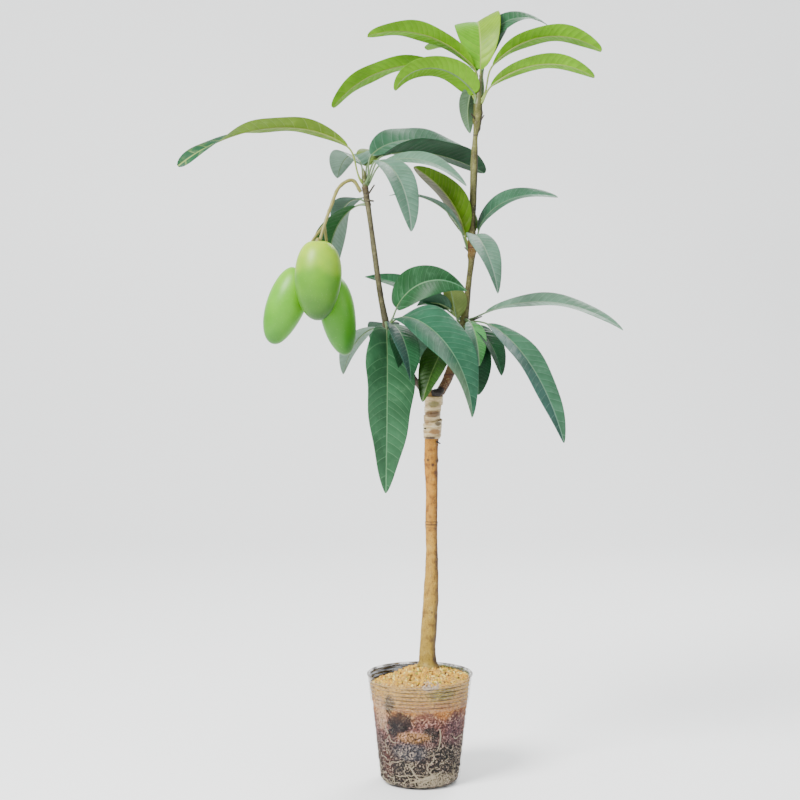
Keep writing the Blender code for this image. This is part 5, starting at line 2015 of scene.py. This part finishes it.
class MANGO_OT_pot(Operator):
    """Make the clear film pot with its ribs and rolled rim"""

    bl_idname = "mango_tree.pot"
    bl_label = "Film pot"

    def execute(self, context):
        make_pot(context.scene.mango_tree.pot)
        return {"FINISHED"}


class MANGO_OT_root_ball(Operator):
    """Make the root ball, its loose crumbs and the roots that show through the film"""

    bl_idname = "mango_tree.root_ball"
    bl_label = "Root ball"

    def execute(self, context):
        make_root_ball(context.scene.mango_tree.pot)
        return {"FINISHED"}


class MANGO_OT_bark(Operator):
    """Make the trunk, the leader, the side shoot and their stubs, with bark relief"""

    bl_idname = "mango_tree.bark"
    bl_label = "Trunk and shoots"

    def execute(self, context):
        make_bark()
        return {"FINISHED"}


class MANGO_OT_tape(Operator):
    """Wind the grafting film round the graft"""

    bl_idname = "mango_tree.tape"
    bl_label = "Grafting film"

    def execute(self, context):
        make_tape(context.scene.mango_tree.tape)
        return {"FINISHED"}


class MANGO_OT_leaves(Operator):
    """Grow the leaves of every mass, with their stalks and the tip stems"""

    bl_idname = "mango_tree.leaves"
    bl_label = "Leaves"

    def execute(self, context):
        make_leaves(context.scene.mango_tree.leaf)
        return {"FINISHED"}


class MANGO_OT_fruit(Operator):
    """Hang the three mangoes on their stalk"""

    bl_idname = "mango_tree.fruit"
    bl_label = "Fruit"

    def execute(self, context):
        make_fruit()
        return {"FINISHED"}


class MANGO_OT_stage(Operator):
    """Set the floor, the lights and the camera"""

    bl_idname = "mango_tree.stage"
    bl_label = "Studio"

    def execute(self, context):
        make_stage(context.scene.mango_tree.studio)
        return {"FINISHED"}


OPERATORS = (
    MANGO_OT_pot, MANGO_OT_root_ball, MANGO_OT_bark, MANGO_OT_tape, MANGO_OT_leaves, MANGO_OT_fruit,
    MANGO_OT_stage,
)


class MANGO_PT_sidebar(Panel):
    """Sizes and steps of the mango tree"""

    bl_idname = "MANGO_PT_sidebar"
    bl_label = "Mango tree"
    bl_space_type = "VIEW_3D"
    bl_region_type = "UI"
    bl_category = "Mango tree"

    def draw(self, context):
        sizes = context.scene.mango_tree
        for group in (sizes.pot, sizes.tape, sizes.leaf, sizes.studio):
            box = self.layout.box()
            for name in group.__annotations__:
                box.prop(group, name)
        for operator in OPERATORS:
            self.layout.operator(operator.bl_idname)


CLASSES = (
    MangoPotSizes, MangoTapeSizes, MangoLeafSizes, MangoStudio, MangoTree, *OPERATORS, MANGO_PT_sidebar,
)


def register():
    for cls in CLASSES:
        bpy.utils.register_class(cls)
    bpy.types.Scene.mango_tree = PointerProperty(type=MangoTree)


def unregister():
    del bpy.types.Scene.mango_tree
    for cls in reversed(CLASSES):
        bpy.utils.unregister_class(cls)


def main():
    register()
    bpy.ops.mango_tree.pot()
    bpy.ops.mango_tree.root_ball()
    bpy.ops.mango_tree.bark()
    bpy.ops.mango_tree.tape()
    bpy.ops.mango_tree.leaves()
    bpy.ops.mango_tree.fruit()
    bpy.ops.mango_tree.stage()


if __name__ == "__main__":
    main()
